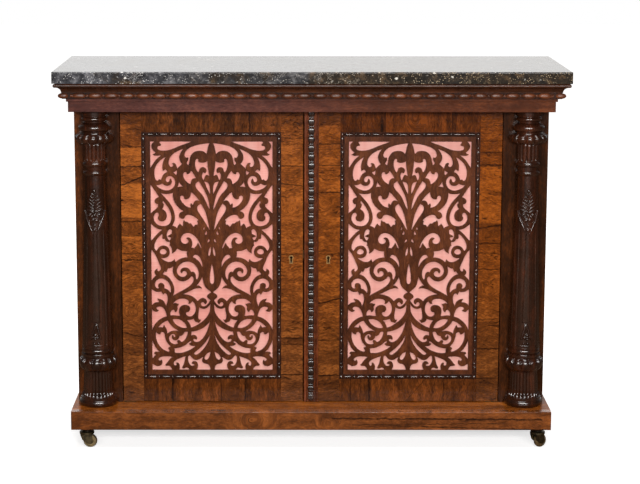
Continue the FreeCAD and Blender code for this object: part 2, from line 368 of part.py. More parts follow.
    "61.3,-189.3* 65.5,-188.8 69.3,-190* 71.3,-194.3 75,-198.3 81.3,-199.7* 82.8,-204 86.3,-208.5 91.3,-210.8 96.5,-209.7 100.2,-205.5 100.7,-200.5 98.7,-197.8* 97,-200 95.3,-203 93,-202.3* 92.3,-199 94.5,-196 98.8,-195 103.3,-197.3 107,-202 107.8,-208 105.8,-214 101,-218.8 94.5,-221.2 84.3,-219* 87,-216 87.3,-212.5 84,-210.8* 80.5,-212.3 77,-215.2 72.5,-213.5 67.5,-208.3 63.8,-201.5 61.7,-195",
    "5.8,-160* 9.5,-167.5 16,-174.3 24,-180 33,-184.3 42,-187.2 51.5,-188.5* 52.3,-193.5 52.5,-199.5* 48,-197.6 43,-198.5 39.3,-201.8 38.2,-206 40,-209.3* 43,-207.3 46.3,-207 47.6,-209.8 45.3,-213.8 40.5,-215.8 34.5,-214.8 28,-210.3 22,-203.5 16.8,-195.5 12.5,-186 9,-175.5",
    "53.3,-212.8* 58,-215 63.5,-220 70,-224.5 78,-228 87,-230.2 96.5,-231.5* 94.3,-235.5 94.3,-240 93,-243* 85,-243.6 76,-242.8 67,-240.3 58,-236.5 49.5,-231.5 41.3,-224.8* 47,-225.2 53,-224 58.3,-220* 55.5,-218.3 53,-216.3",
    "5.7,-196.5* 10.5,-205.5 16,-214 22.5,-221.8 29.5,-229 37,-235.5 43.5,-240.8 45.8,-244.5 43.8,-247.5 39.3,-247.6 33,-243.5 26,-237 19,-228.5 13,-219 8.5,-208.5",
    "5.3,-239.5* 9,-241.8 12.5,-243* 16.5,-247.5 19.8,-253.5 19.3,-258.5 15.5,-260.7 11.3,-258.3 8,-252.5 6,-246",
    "21.6,-253.5* 27,-254.8 32.5,-258.5 38.5,-260.4 44.5,-259.8 49.5,-256.5 53.5,-252 57,-249* 60.2,-251.8 61,-257.5 60.3,-264.5 57.3,-271.5 53,-275.5 48.5,-276 45,-273.7 46.3,-271.7 51.8,-270.3* 50.3,-266.3 46,-264.1 41.3,-264.8 37.8,-268.5 36.2,-274 37.3,-280 41,-285.8* 5,-285.8* 6,-279.5 9,-273.5 13.5,-270.5 20,-269.2 25,-265 25.7,-259.5",
    "57.3,-285.8* 60.3,-281.5 64.5,-279.6 69,-281.2 73.8,-282* 75.8,-280 73.3,-274.5 70.8,-268 69,-259.5 66.3,-250.7* 73,-252.8 80.5,-255.7 87.5,-258.8 93.3,-262.5 96.8,-267.5 96,-273 93,-275.6 90.3,-273.8 90.6,-268.6* 87,-268 83.8,-270.8 82,-275.5 82,-280.5 83.3,-285.8*",
    "98,-253.5* 104.5,-251.8 112.5,-251.2 120.5,-251.3 127.5,-252.7 132.8,-255.8 134.7,-260 132.3,-263.3 128,-260.3* 125.5,-264 125.2,-268.5 128,-273 133,-275.7 139,-276 144.5,-273.3 149.8,-270* 149.8,-285.8* 100,-285.8* 103.3,-280 107.5,-275.8 113,-275.3 118.3,-273* 114.3,-269.3 110.5,-264 106,-258.5",
    "149.8,-210* 149.8,-258* 146.5,-253.5 143.3,-250 140.5,-247.3* 143.5,-245.7 145.5,-243.2* 143.5,-241 138.5,-240.2 127.5,-240.7* 133,-238 138.8,-232 143.8,-224 147.3,-216",
]
AXIS_HOLE = "0,-18* 1.8,-25 3.3,-33 4.6,-43 5.4,-53 5.3,-61 3.6,-67 0,-69.5"
FX, FZ = 0.988, 0.997


def points_of(text):
    pts, corner = [], []
    for word in text.split():
        corner.append(word.endswith("*"))
        a, b = word.rstrip("*").split(",")
        pts.append((float(a), float(b)))
    return pts, corner


def spline(pts, closed=False):
    """A smooth curve through the points, spaced by the square root of the chord."""
    if len(pts) == 2:
        return Part.LineSegment(pts[0], pts[1]).toShape()
    run = pts + pts[:1] if closed else pts
    par = [0.0]
    for p0, p1 in zip(run, run[1:]):
        par.append(par[-1] + math.sqrt(p0.distanceToPoint(p1)))
    c = Part.BSplineCurve()
    c.interpolate(Points=pts, PeriodicFlag=closed, Parameters=par)
    return c.toShape()


def hole_wire(text, mirror, cx, y, cz):
    pts, corner = points_of(text)
    pts = [V(cx + mirror * FX * a, y, cz + FZ * b) for a, b in pts]
    n = len(pts)
    ci = [i for i in range(n) if corner[i]]
    if not ci:
        return Part.Wire([spline(pts, True)])
    edges = []
    for a, b in zip(ci, ci[1:] + [ci[0] + n]):
        edges.append(spline([pts[q % n] for q in range(a, b + 1)]))
    return Part.Wire(edges)


def fret_plate():
    """The pierced plate, standing at the middle of the frame; each door gets a copy."""
    y, cz = -S("fret_front_y"), S("panel_z")
    hw, hh = S("panel_width") / 2, S("panel_height") / 2
    wires = [Part.makePolygon([V(-hw, y, cz - hh), V(hw, y, cz - hh), V(hw, y, cz + hh), V(-hw, y, cz + hh), V(-hw, y, cz - hh)])]
    for text in HOLES:
        for m in (-1, 1):
            wires.append(hole_wire(text, m, 0.0, y, cz))
    pts, corner = points_of(AXIS_HOLE)
    right = [V(FX * a, y, cz + FZ * b) for a, b in pts]
    left = [V(-FX * a, y, cz + FZ * b) for a, b in pts[1:-1]]
    wires.append(Part.Wire([spline(right + left[::-1] + [right[0]])]))
    return Part.makeFace(wires, "Part::FaceMakerBullseye").extrude(V(0, S("fret_thick"), 0))


FRET = fret_plate()


def fret(cx):
    shp = FRET.copy()
    shp.translate(V(cx, 0, 0))
    return shp


# ---------------------------------------------------------------- doors
def panel_bead(cx):
    """Four mitred half-round lengths round the opening of a door panel."""
    w, hw, hh = S("bead_width"), S("panel_width") / 2, S("panel_height") / 2
    y0, y1, cz = -S("stile_front_y"), -S("fret_front_y"), S("panel_z")
    proud = S("bead_proud")
    out = []
    for k in range(4):
        horizontal = k % 2 == 0
        half, reach = (hh, hw) if horizontal else (hw, hh)
        sgn = 1 if k < 2 else -1

        def place(u, y, along):
            # u runs from the opening's edge inwards
            if horizontal:
                return V(cx + along, y, cz + sgn * (half - u))
            return V(cx + sgn * (half - u), y, cz + along)
        e = [Part.LineSegment(place(0, y1, -reach - 5), place(w, y1, -reach - 5)).toShape(),
             Part.LineSegment(place(w, y1, -reach - 5), place(w, y0 + 2, -reach - 5)).toShape(),
             Part.Arc(place(w, y0 + 2, -reach - 5), place(w / 2, y0 - proud, -reach - 5), place(0, y0, -reach - 5)).toShape(),
             Part.LineSegment(place(0, y0, -reach - 5), place(0, y1, -reach - 5)).toShape()]
        f = Part.Face(Part.Wire(e))
        s = f.extrude(V(2 * reach + 10, 0, 0) if horizontal else V(0, 0, 2 * reach + 10))
        q = 20
        if horizontal:
            plan = [(-hw, sgn * hh), (hw, sgn * hh), (hw - q, sgn * (hh - q)), (-hw + q, sgn * (hh - q))]
        else:
            plan = [(sgn * hw, -hh), (sgn * hw, hh), (sgn * (hw - q), hh - q), (sgn * (hw - q), -hh + q)]
        m = Part.Face(Part.makePolygon([V(cx + a, -120, cz + b) for a, b in plan + plan[:1]])).extrude(V(0, 80, 0))
        out.append(s.common(m))
    return Part.makeCompound(out)


def keyhole_tool(tag, x, r, w, drop, y0, y1):
    """A round eye with a slot below it, running front to back."""
    eye = cyl("%s_eye" % tag, x, y0, "keyhole_z+4.5", r, "(%s)-(%s)" % (y1, y0), V(0, 1, 0))
    slot = box("%s_slot" % tag, "%s-%s" % (x, w), "%s+%s" % (x, w), y0, y1, "keyhole_z-%s" % drop, "keyhole_z+4.5")
    return fuse("%s_key" % tag, eye, slot)


def keyhole_rim(tag, x, y0, y1):
    outer = keyhole_tool(tag + "_rim_out", x, "6", "4.4", "10.5", y0, y1)
    inner = keyhole_tool(tag + "_rim_in", x, "3.4", "1.9", "8", y0 + "-1", y1 + "+1")
    return cut(tag + "_rim", outer, inner)


SY, SB = "-stile_front_y", "-stile_back_y"
ZL, ZU = "door_low", "door_top"
PZ0, PZ1 = "panel_z-panel_height/2", "panel_z+panel_height/2"


def pivot_bores(tag, x):
    """Recesses for the two pivot plates in a door's hinge stile, and the holes behind them."""
    s = x[0] if x[0] == "-" else ""
    a, b = ("%s-10" % x, "%s+20" % x) if s else ("%s-20" % x, "%s+10" % x)
    plates, recesses, sockets = [], [], []
    for end, zp0, zp1, zb0, zb1 in (("low", ZL, ZL + "+door_plate_thick", ZL + "-1", ZL + "+10"),
                                    ("top", ZU + "-door_plate_thick", ZU, ZU + "-10", ZU + "+1")):
        recesses.append(box("%s_rec_%s" % (tag, end), a, b, SY + "+0.5", SY + "+10.5", zp0, zp1))
        recesses.append(cyl("%s_hole_%s" % (tag, end), x, "-pivot_y", zb0, "pivot_bore_radius", "(%s)-(%s)" % (zb1, zb0)))
        plate = box("%s_plate_%s" % (tag, end), a, b, SY + "+0.5", SY + "+10.5", zp0, zp1)
        bore = cyl("%s_bore_%s" % (tag, end), x, "-pivot_y", zp0 + "-1", "pivot_bore_radius", "door_plate_thick+2")
        plates.append(cut("%s_socket_%s" % (tag, end), plate, bore))
    return recesses, group(tag + "_sockets", *plates)


def door(tag, x_hinge, x_meet, px, key_x, sign):
    """sign is -1 for the left door, +1 for the right."""
    L = "%s_door_" % tag
    if sign < 0:
        hs0, hs1, ms0, ms1 = x_hinge, "%s-panel_width/2" % px, "%s+panel_width/2" % px, x_meet
    else:
        hs0, hs1, ms0, ms1 = "%s+panel_width/2" % px, x_hinge, x_meet, "%s-panel_width/2" % px
    rec, sockets = pivot_bores(tag + "_pivot", "-pivot_x" if sign < 0 else "pivot_x")
    node(cut(L + "hinge_cut", box(L + "hinge_board", hs0, hs1, SY, SB, ZL, ZU), *rec), L + "hinge_stile")
    node(sockets, L + "pivot_sockets")
    node(box(L + "top_board", px + "-panel_width/2", px + "+panel_width/2", SY, SB, PZ1, ZU), L + "top_rail")
    node(box(L + "bottom_board", px + "-panel_width/2", px + "+panel_width/2", SY, SB, ZL, PZ0), L + "bottom_rail")
    stile = box(L + "meeting_board", ms0, ms1, SY, SB, ZL, ZU)
    tools = [keyhole_tool(L + "seat", key_x, "6", "4.4", "10.5", SY + "-1", SY + "+3")]
    if sign < 0:
        tools.append(keyhole_tool(L + "through", key_x, "3.2", "1.8", "7.5", SY + "-1", SY + "+12"))
        # mortise for the lock bolt, and grooves for the two flush bolts
        tools.append(box(L + "strike", x_meet + "-13", x_meet + "+1", "-stile_back_y-8.5", "-stile_back_y-2.5",
                         "keyhole_z-bolt_height/2-1", "keyhole_z+bolt_height/2+1"))
        for end, z0, z1 in (("up", ZU + "-flush_bolt_length-12", ZU + "+1"), ("down", ZL + "-1", ZL + "+flush_bolt_length+12")):
            tools.append(box(L + "groove_" + end, "-flush_bolt_x-flush_bolt_width/2-0.2", "-flush_bolt_x+flush_bolt_width/2+0.2",
                             "-stile_back_y-5.7", "-stile_back_y+1", z0, z1))
    else:
        tools.append(keyhole_tool(L + "through", key_x, "3.2", "1.8", "7.5", SY + "-1", SB + "+1"))
        tools.append(box(L + "lock_seat", x_meet + "-1", x_meet + "+70", "-stile_back_y-10", "-stile_back_y+1", "keyhole_z-31", "keyhole_z+31"))
    node(cut(L + "meeting_cut", stile, *tools), L + "meeting_stile")
    node(keyhole_rim(L + "keyhole", key_x, SY + "-0.4", SY + "+3"), L + "keyhole_rim")
    cx = sign * (S("left_panel_x") if sign < 0 else S("right_panel_x"))
    node(feature(L + "beads", panel_bead(cx)), L + "panel_bead")
    node(feature(L + "fretwork", fret(cx)), L + "fret")
    y1 = "-fret_front_y+fret_thick"
    node(box(L + "silk_sheet", px + "-panel_width/2", px + "+panel_width/2", y1, y1 + "+silk_thick", PZ0, PZ1), L + "silk")
    y2 = y1 + "+silk_thick"
    node(box(L + "backing_board", px + "-panel_width/2", px + "+panel_width/2", y2, y2 + "+backing_thick", PZ0, PZ1), L + "backing")


door("left", "-door_outer", "-left_meeting", "-left_panel_x", "-keyhole_left_x", -1)
door("right", "door_outer", "-right_meeting", "right_panel_x", "keyhole_right_x", 1)

# pivot plates and pins let on to the plinth and the sub-top
pins = []
for tag, x, a, b in (("l", "-pivot_x", "-pivot_x-10", "-pivot_x+20"), ("r", "pivot_x", "pivot_x-20", "pivot_x+10")):
    for end, z0, p0 in (("low", "plinth_top", "plinth_top"), ("top", "frieze_low-pivot_plate_thick", "frieze_low-9.5")):
        pl = box("frame_plate_%s_%s" % (tag, end), a, b, SY + "+0.5", SY + "+10.5", z0, z0 + "+pivot_plate_thick")
        pn = cyl("frame_pin_%s_%s" % (tag, end), x, "-pivot_y", p0, "pivot_pin_radius", "9.5")
        pins.append(fuse("frame_pivot_%s_%s" % (tag, end), pl, pn))
node(group("frame_pivots", *pins), "frame_pivot_pins")

# meeting astragal: a bead between two flat fillets
ax0 = -S("right_meeting")
aw, ap, ay = S("astragal_width"), S("astragal_proud"), -S("stile_front_y")
A = [(0, 0), (0, -3.0), (1.2, -4.2), (8.5, -4.2), (9.6, -3.4), ("arc", (17.0, -ap), (24.4, -3.4)), (25.5, -4.2), (33.8, -4.2), (35.0, -3.0), (35.0, 0)]
sx = aw / 35.0
face = profile_face([(p[0] * sx, p[1]) if p[0] != "arc" else ("arc", (p[1][0] * sx, p[1][1]), (p[2][0] * sx, p[2][1])) for p in A],
                    lambda u, w: V(ax0 + u, ay + w, S("door_low")))
node(feature("astragal_strip", face.extrude(V(0, 0, S("door_top") - S("door_low")))), "meeting_astragal")

# lock in the right door: a flat case let in from behind, with a sliding bolt
case = cut("lock_case_cut",
           box("lock_case_block", "-right_meeting", "-right_meeting+70", "-stile_back_y-10", "-stile_back_y", "keyhole_z-31", "keyhole_z+31"),
           box("lock_channel", "-right_meeting-1", "-right_meeting+bolt_length+2", "-stile_back_y-8.2", "-stile_back_y-2.8",
               "keyhole_z-bolt_height/2-0.2", "keyhole_z+bolt_height/2+0.2"),
           keyhole_tool("lock_case", "keyhole_right_x", "3.2", "1.8", "7.5", SB + "-11", SB + "+1"))
node(case, "lock_case")
node(box("lock_bolt_bar", "-right_meeting+0.5", "-right_meeting+0.5+bolt_length", "-stile_back_y-8", "-stile_back_y-3",
         "keyhole_z-bolt_height/2", "keyhole_z+bolt_height/2"), "lock_bolt")


def flush_bolt(tag, z0, z1, kz):
    bar = box("flush_%s_bar" % tag, "-flush_bolt_x-flush_bolt_width/2", "-flush_bolt_x+flush_bolt_width/2",
              "-stile_back_y-5.5", "-stile_back_y-0.5", z0, z1)
    knob = cyl("flush_%s_knob" % tag, "-flush_bolt_x", "-stile_back_y-0.6", kz, "2.5", "7.5", V(0, 1, 0))
    return fuse("flush_%s" % tag, bar, knob)


node(flush_bolt("up", "door_top-1-flush_bolt_length", "door_top-1", "door_top-40"), "upper_flush_bolt")
node(flush_bolt("down", "door_low+1", "door_low+1+flush_bolt_length", "door_low+40"), "lower_flush_bolt")
plates = []
for tag, z0, z1, s0, s1 in (("up", "door_top-80", "door_top", "door_top-43.5", "door_top-24"),
                            ("down", "door_low", "door_low+80", "door_low+24", "door_low+43.5")):
    pl = box("flush_plate_%s_blank" % tag, "-flush_bolt_x-12", "-flush_bolt_x+12", "-stile_back_y", "-stile_back_y+1.2", z0, z1)
    slot = box("flush_plate_%s_slot" % tag, "-flush_bolt_x-3", "-flush_bolt_x+3", "-stile_back_y-1", "-stile_back_y+2", s0, s1)
    plates.append(cut("flush_plate_" + tag, pl, slot))
node(group("flush_plates", *plates), "flush_bolt_plates")

# ---------------------------------------------------------------- castors
R, HW, TR = S("wheel_radius"), S("wheel_width") / 2, S("castor_trail")
CASTORS = [("front_left", -S("castor_left_x"), -S("castor_front_y"), 0.0), ("front_right", S("castor_right_x"), -S("castor_front_y"), 36.0),
           ("rear_left", -S("castor_left_x"), S("castor_rear_y"), 20.0), ("rear_right", S("castor_right_x"), S("castor_rear_y"), 160.0)]


def castor_fork():
    """Stem, round crown and two horn-shaped cheeks that carry the wheel a little behind the swivel."""
    shapes = [Part.makeCylinder(18.0, 4.4, V(0, 0, 35.6)),
              Part.makeCone(15.0, 10.0, 2.0, V(0, 0, 40.0)),
              Part.makeCylinder(S("stem_radius"), 11.0, V(0, 0, 39.5))]
    for sgn in (-1, 1):
        y0 = sgn * (HW + 0.7)
        dy = sgn * 2.6
        poly = [(-17.0, 39.0), (15.5, 39.0), (13.0, 30.0), (14.5, 17.0), (8.0, 10.5), (0.0, 12.0), (-10.5, 20.0), (-15.0, 31.0)]
        f = Part.Face(Part.makePolygon([V(a, y0, b) for a, b in poly + poly[:1]]))
        shapes.append(f.extrude(V(0, dy, 0)))
        shapes.append(Part.makeCylinder(7.2, 2.6, V(TR, y0 if sgn > 0 else y0 - 2.6, R), V(0, 1, 0)))
        shapes.append(Part.makeCylinder(3.6, 1.2, V(TR, sgn * (HW + 3.3) - (0 if sgn > 0 else 1.2), R), V(0, 1, 0)))
    shapes.append(Part.makeCylinder(S("axle_radius"), 2 * (HW + 2.0), V(TR, -(HW + 2.0), R), V(0, 1, 0)))
    out = shapes[0].multiFuse(shapes[1:])
    return out.removeSplitter()


plate_parts = []
for tag, cx, cy, turn in CASTORS:
    place = FreeCAD.Placement(V(cx, cy, 0), Rot(V(0, 0, 1), turn))
    node(feature("fork_" + tag, castor_fork(), place), "castor_fork_" + tag)
    body = doc.addObject("PartDesign::Body", "wheel_body_" + tag)
    sk = sketch_on(body, "wheel_profile_" + tag, "XY_Plane")
    b = S("hub_bore_radius")
    low = [(b, -HW, 0), (7.6, -HW, 0), (8.4, 1.8 - HW, 0), (11.2, 1.8 - HW, 0), (12.0, -HW, 0), (R - 2.5, -HW, 0)]
    high = [(x, -y, 0) for x, y, _ in reversed(low)]
    sk.addGeometry([line(p, q) for p, q in zip(low, low[1:])] + [Part.Arc(V(*low[-1]), V(R, 0, 0), V(*high[0]))]
                   + [line(p, q) for p, q in zip(high, high[1:])] + [line(high[-1], low[0])], False)
    rev = body.newObject("PartDesign::Revolution", "wheel_turning_" + tag)
    rev.Profile = sk
    rev.ReferenceAxis = (sk, ["V_Axis"])
    rev.Angle = 360
    body.Tip = rev
    body.Placement = place.multiply(FreeCAD.Placement(V(TR, 0, R), Rot()))
    node(body, "castor_wheel_" + tag)
    sx_, sy_ = "%g" % cx, "%g" % cy
    disc = cyl("plate_disc_" + tag, sx_, sy_, "plinth_low-3", "castor_plate_radius", "3")
    boss = cyl("plate_boss_" + tag, sx_, sy_, "42.3", "11", "plinth_low-3-42.3")
    bore = cyl("plate_bore_" + tag, sx_, sy_, "41.5", "stem_bore_radius", "9.5")
    plate_parts.append(cut("castor_plate_" + tag, fuse("plate_" + tag, disc, boss), bore))
node(group("castor_plate_set", *plate_parts), "castor_plates")

# ---------------------------------------------------------------- check and write
doc.recompute()
bad = [o.Name for o in doc.Objects if "Invalid" in o.State or "Error" in o.State]
for label, obj in NODES.items():
    shp = obj.Shape
    if shp.isNull() or not shp.isValid() or not shp.Solids:
        bad.append(label)
if bad:
    raise SystemExit("failed objects: %s" % bad)
for label in ("column_left", "column_right"):
    b = NODES[label].Shape.BoundBox
    print(label, round(b.XMin, 1), round(b.XMax, 1), round(b.YMin, 1), round(b.YMax, 1), round(b.ZMin, 1), round(b.ZMax, 1))
print("marble volume", round(NODES["marble_top"].Shape.Volume), "fret volume", round(NODES["left_door_fret"].Shape.Volume))
os.makedirs("parts", exist_ok=True)
for label, obj in NODES.items():
    obj.Shape.exportStep("parts/%s.step" % label)
print(len(NODES), "nodes")
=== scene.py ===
import math

import bpy
import numpy as np
from mathutils import Matrix, Vector


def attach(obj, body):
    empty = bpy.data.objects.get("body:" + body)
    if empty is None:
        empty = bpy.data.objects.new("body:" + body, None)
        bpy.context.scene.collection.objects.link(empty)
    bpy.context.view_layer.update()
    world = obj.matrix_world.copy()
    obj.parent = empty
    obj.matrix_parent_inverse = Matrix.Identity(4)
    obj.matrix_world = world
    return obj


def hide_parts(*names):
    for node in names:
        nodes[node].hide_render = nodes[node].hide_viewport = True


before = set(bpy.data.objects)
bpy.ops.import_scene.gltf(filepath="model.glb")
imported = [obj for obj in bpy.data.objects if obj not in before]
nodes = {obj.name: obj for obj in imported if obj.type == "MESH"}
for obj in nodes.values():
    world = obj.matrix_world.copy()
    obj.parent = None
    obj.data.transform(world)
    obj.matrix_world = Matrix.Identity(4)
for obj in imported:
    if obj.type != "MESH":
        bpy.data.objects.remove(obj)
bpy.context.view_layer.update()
scene = bpy.context.scene


# ------------------------------------------------------------------ colour
def lin(c):
    """sRGB 0-255 to a linear RGBA."""
    out = []
    for v in c:
        v = v / 255.0
        out.append(v / 12.92 if v <= 0.04045 else ((v + 0.055) / 1.055) ** 2.4)
    return (*out, 1.0)


# ------------------------------------------------------------------ node helpers
class Tree:
    """Short names for the shader nodes used below."""

    def __init__(self, name):
        self.mat = bpy.data.materials.new(name)
        self.mat.use_nodes = True
        self.nt = self.mat.node_tree
        self.nt.nodes.clear()
        self.out = self.nt.nodes.new("ShaderNodeOutputMaterial")
        self.bsdf = self.nt.nodes.new("ShaderNodeBsdfPrincipled")
        self.nt.links.new(self.bsdf.outputs["BSDF"], self.out.inputs["Surface"])
        self.obj = self.nt.nodes.new("ShaderNodeTexCoord").outputs["Object"]

    def put(self, socket, value):
        if hasattr(value, "is_linked") or isinstance(value, bpy.types.NodeSocket):
            self.nt.links.new(value, socket)
        elif value is not None:
            socket.default_value = value

    def math(self, op, a, b=None, c=None, clamp=False):
        n = self.nt.nodes.new("ShaderNodeMath")
        n.operation = op
        n.use_clamp = clamp
        for s, v in zip(n.inputs, (a, b, c)):
            self.put(s, v)
        return n.outputs[0]

    def add(self, a, b):
        return self.math("ADD", a, b)

    def sub(self, a, b):
        return self.math("SUBTRACT", a, b)

    def mul(self, a, b):
        return self.math("MULTIPLY", a, b)

    def sep(self, v):
        n = self.nt.nodes.new("ShaderNodeSeparateXYZ")
        self.put(n.inputs[0], v)
        return n.outputs[0], n.outputs[1], n.outputs[2]

    def sep_colour(self, v):
        n = self.nt.nodes.new("ShaderNodeSeparateColor")
        self.put(n.inputs[0], v)
        return n.outputs[0], n.outputs[1], n.outputs[2]

    def comb(self, x, y, z):
        n = self.nt.nodes.new("ShaderNodeCombineXYZ")
        for s, v in zip(n.inputs, (x, y, z)):
            self.put(s, v)
        return n.outputs[0]

    def noise(self, vec, scale=1.0, detail=3.0, rough=0.5, distort=0.0, colour=False):
        n = self.nt.nodes.new("ShaderNodeTexNoise")
        self.put(n.inputs["Vector"], vec)
        n.inputs["Scale"].default_value = scale
        n.inputs["Detail"].default_value = detail
        n.inputs["Roughness"].default_value = rough
        n.inputs["Distortion"].default_value = distort
        return n.outputs["Color" if colour else 0]

    def voronoi(self, vec, scale=1.0, feature="F1", out="Distance", random=1.0):
        n = self.nt.nodes.new("ShaderNodeTexVoronoi")
        n.feature = feature
        self.put(n.inputs["Vector"], vec)
        n.inputs["Scale"].default_value = scale
        n.inputs["Randomness"].default_value = random
        return n.outputs[out]

    def white(self, w):
        n = self.nt.nodes.new("ShaderNodeTexWhiteNoise")
        n.noise_dimensions = "1D"
        self.put(n.inputs["W"], w)
        return n.outputs["Value"]

    def ramp(self, fac, stops, mode="LINEAR"):
        n = self.nt.nodes.new("ShaderNodeValToRGB")
        n.color_ramp.interpolation = mode
        el = n.color_ramp.elements
        while len(el) < len(stops):
            el.new(0.5)
        for e, (p, c) in zip(el, stops):
            e.position = p
            e.color = c if isinstance(c, tuple) else (c, c, c, 1.0)
        self.put(n.inputs[0], fac)
        return n.outputs[0]

    def range(self, v, a, b, c=0.0, d=1.0, smooth=False):
        n = self.nt.nodes.new("ShaderNodeMapRange")
        n.interpolation_type = "SMOOTHSTEP" if smooth else "LINEAR"
        n.clamp = True
        for s, x in zip(n.inputs, (v, a, b, c, d)):
            self.put(s, x)
        return n.outputs[0]

    def mix(self, fac, a, b, mode="MIX"):
        n = self.nt.nodes.new("ShaderNodeMix")
        n.data_type = "RGBA"
        n.blend_type = mode
        n.clamp_factor = True
        self.put(n.inputs["Factor"], fac)
        ins = [s for s in n.inputs if s.type == "RGBA"]
        self.put(ins[0], a)
        self.put(ins[1], b)
        return [s for s in n.outputs if s.type == "RGBA"][0]

    def bump(self, height, strength, distance, normal=None):
        n = self.nt.nodes.new("ShaderNodeBump")
        n.inputs["Strength"].default_value = strength
        n.inputs["Distance"].default_value = distance
        self.put(n.inputs["Height"], height)
        if normal is not None:
            self.put(n.inputs["Normal"], normal)
        return n.outputs[0]

    def done(self, colour=None, rough=None, normal=None, metal=0.0, spec=0.5, coat=0.0,
             coat_rough=0.1, sheen=0.0, sheen_rough=0.4, ior=1.5, sheen_tint=None):
        b = self.bsdf
        self.put(b.inputs["Base Color"], colour)
        self.put(b.inputs["Roughness"], rough)
        if normal is not None:
            self.put(b.inputs["Normal"], normal)
        b.inputs["Metallic"].default_value = metal
        b.inputs["Specular IOR Level"].default_value = spec
        b.inputs["Coat Weight"].default_value = coat
        b.inputs["Coat Roughness"].default_value = coat_rough
        b.inputs["Sheen Weight"].default_value = sheen
        b.inputs["Sheen Roughness"].default_value = sheen_rough
        if sheen_tint is not None:
            b.inputs["Sheen Tint"].default_value = sheen_tint
        b.inputs["IOR"].default_value = ior
        return self.mat


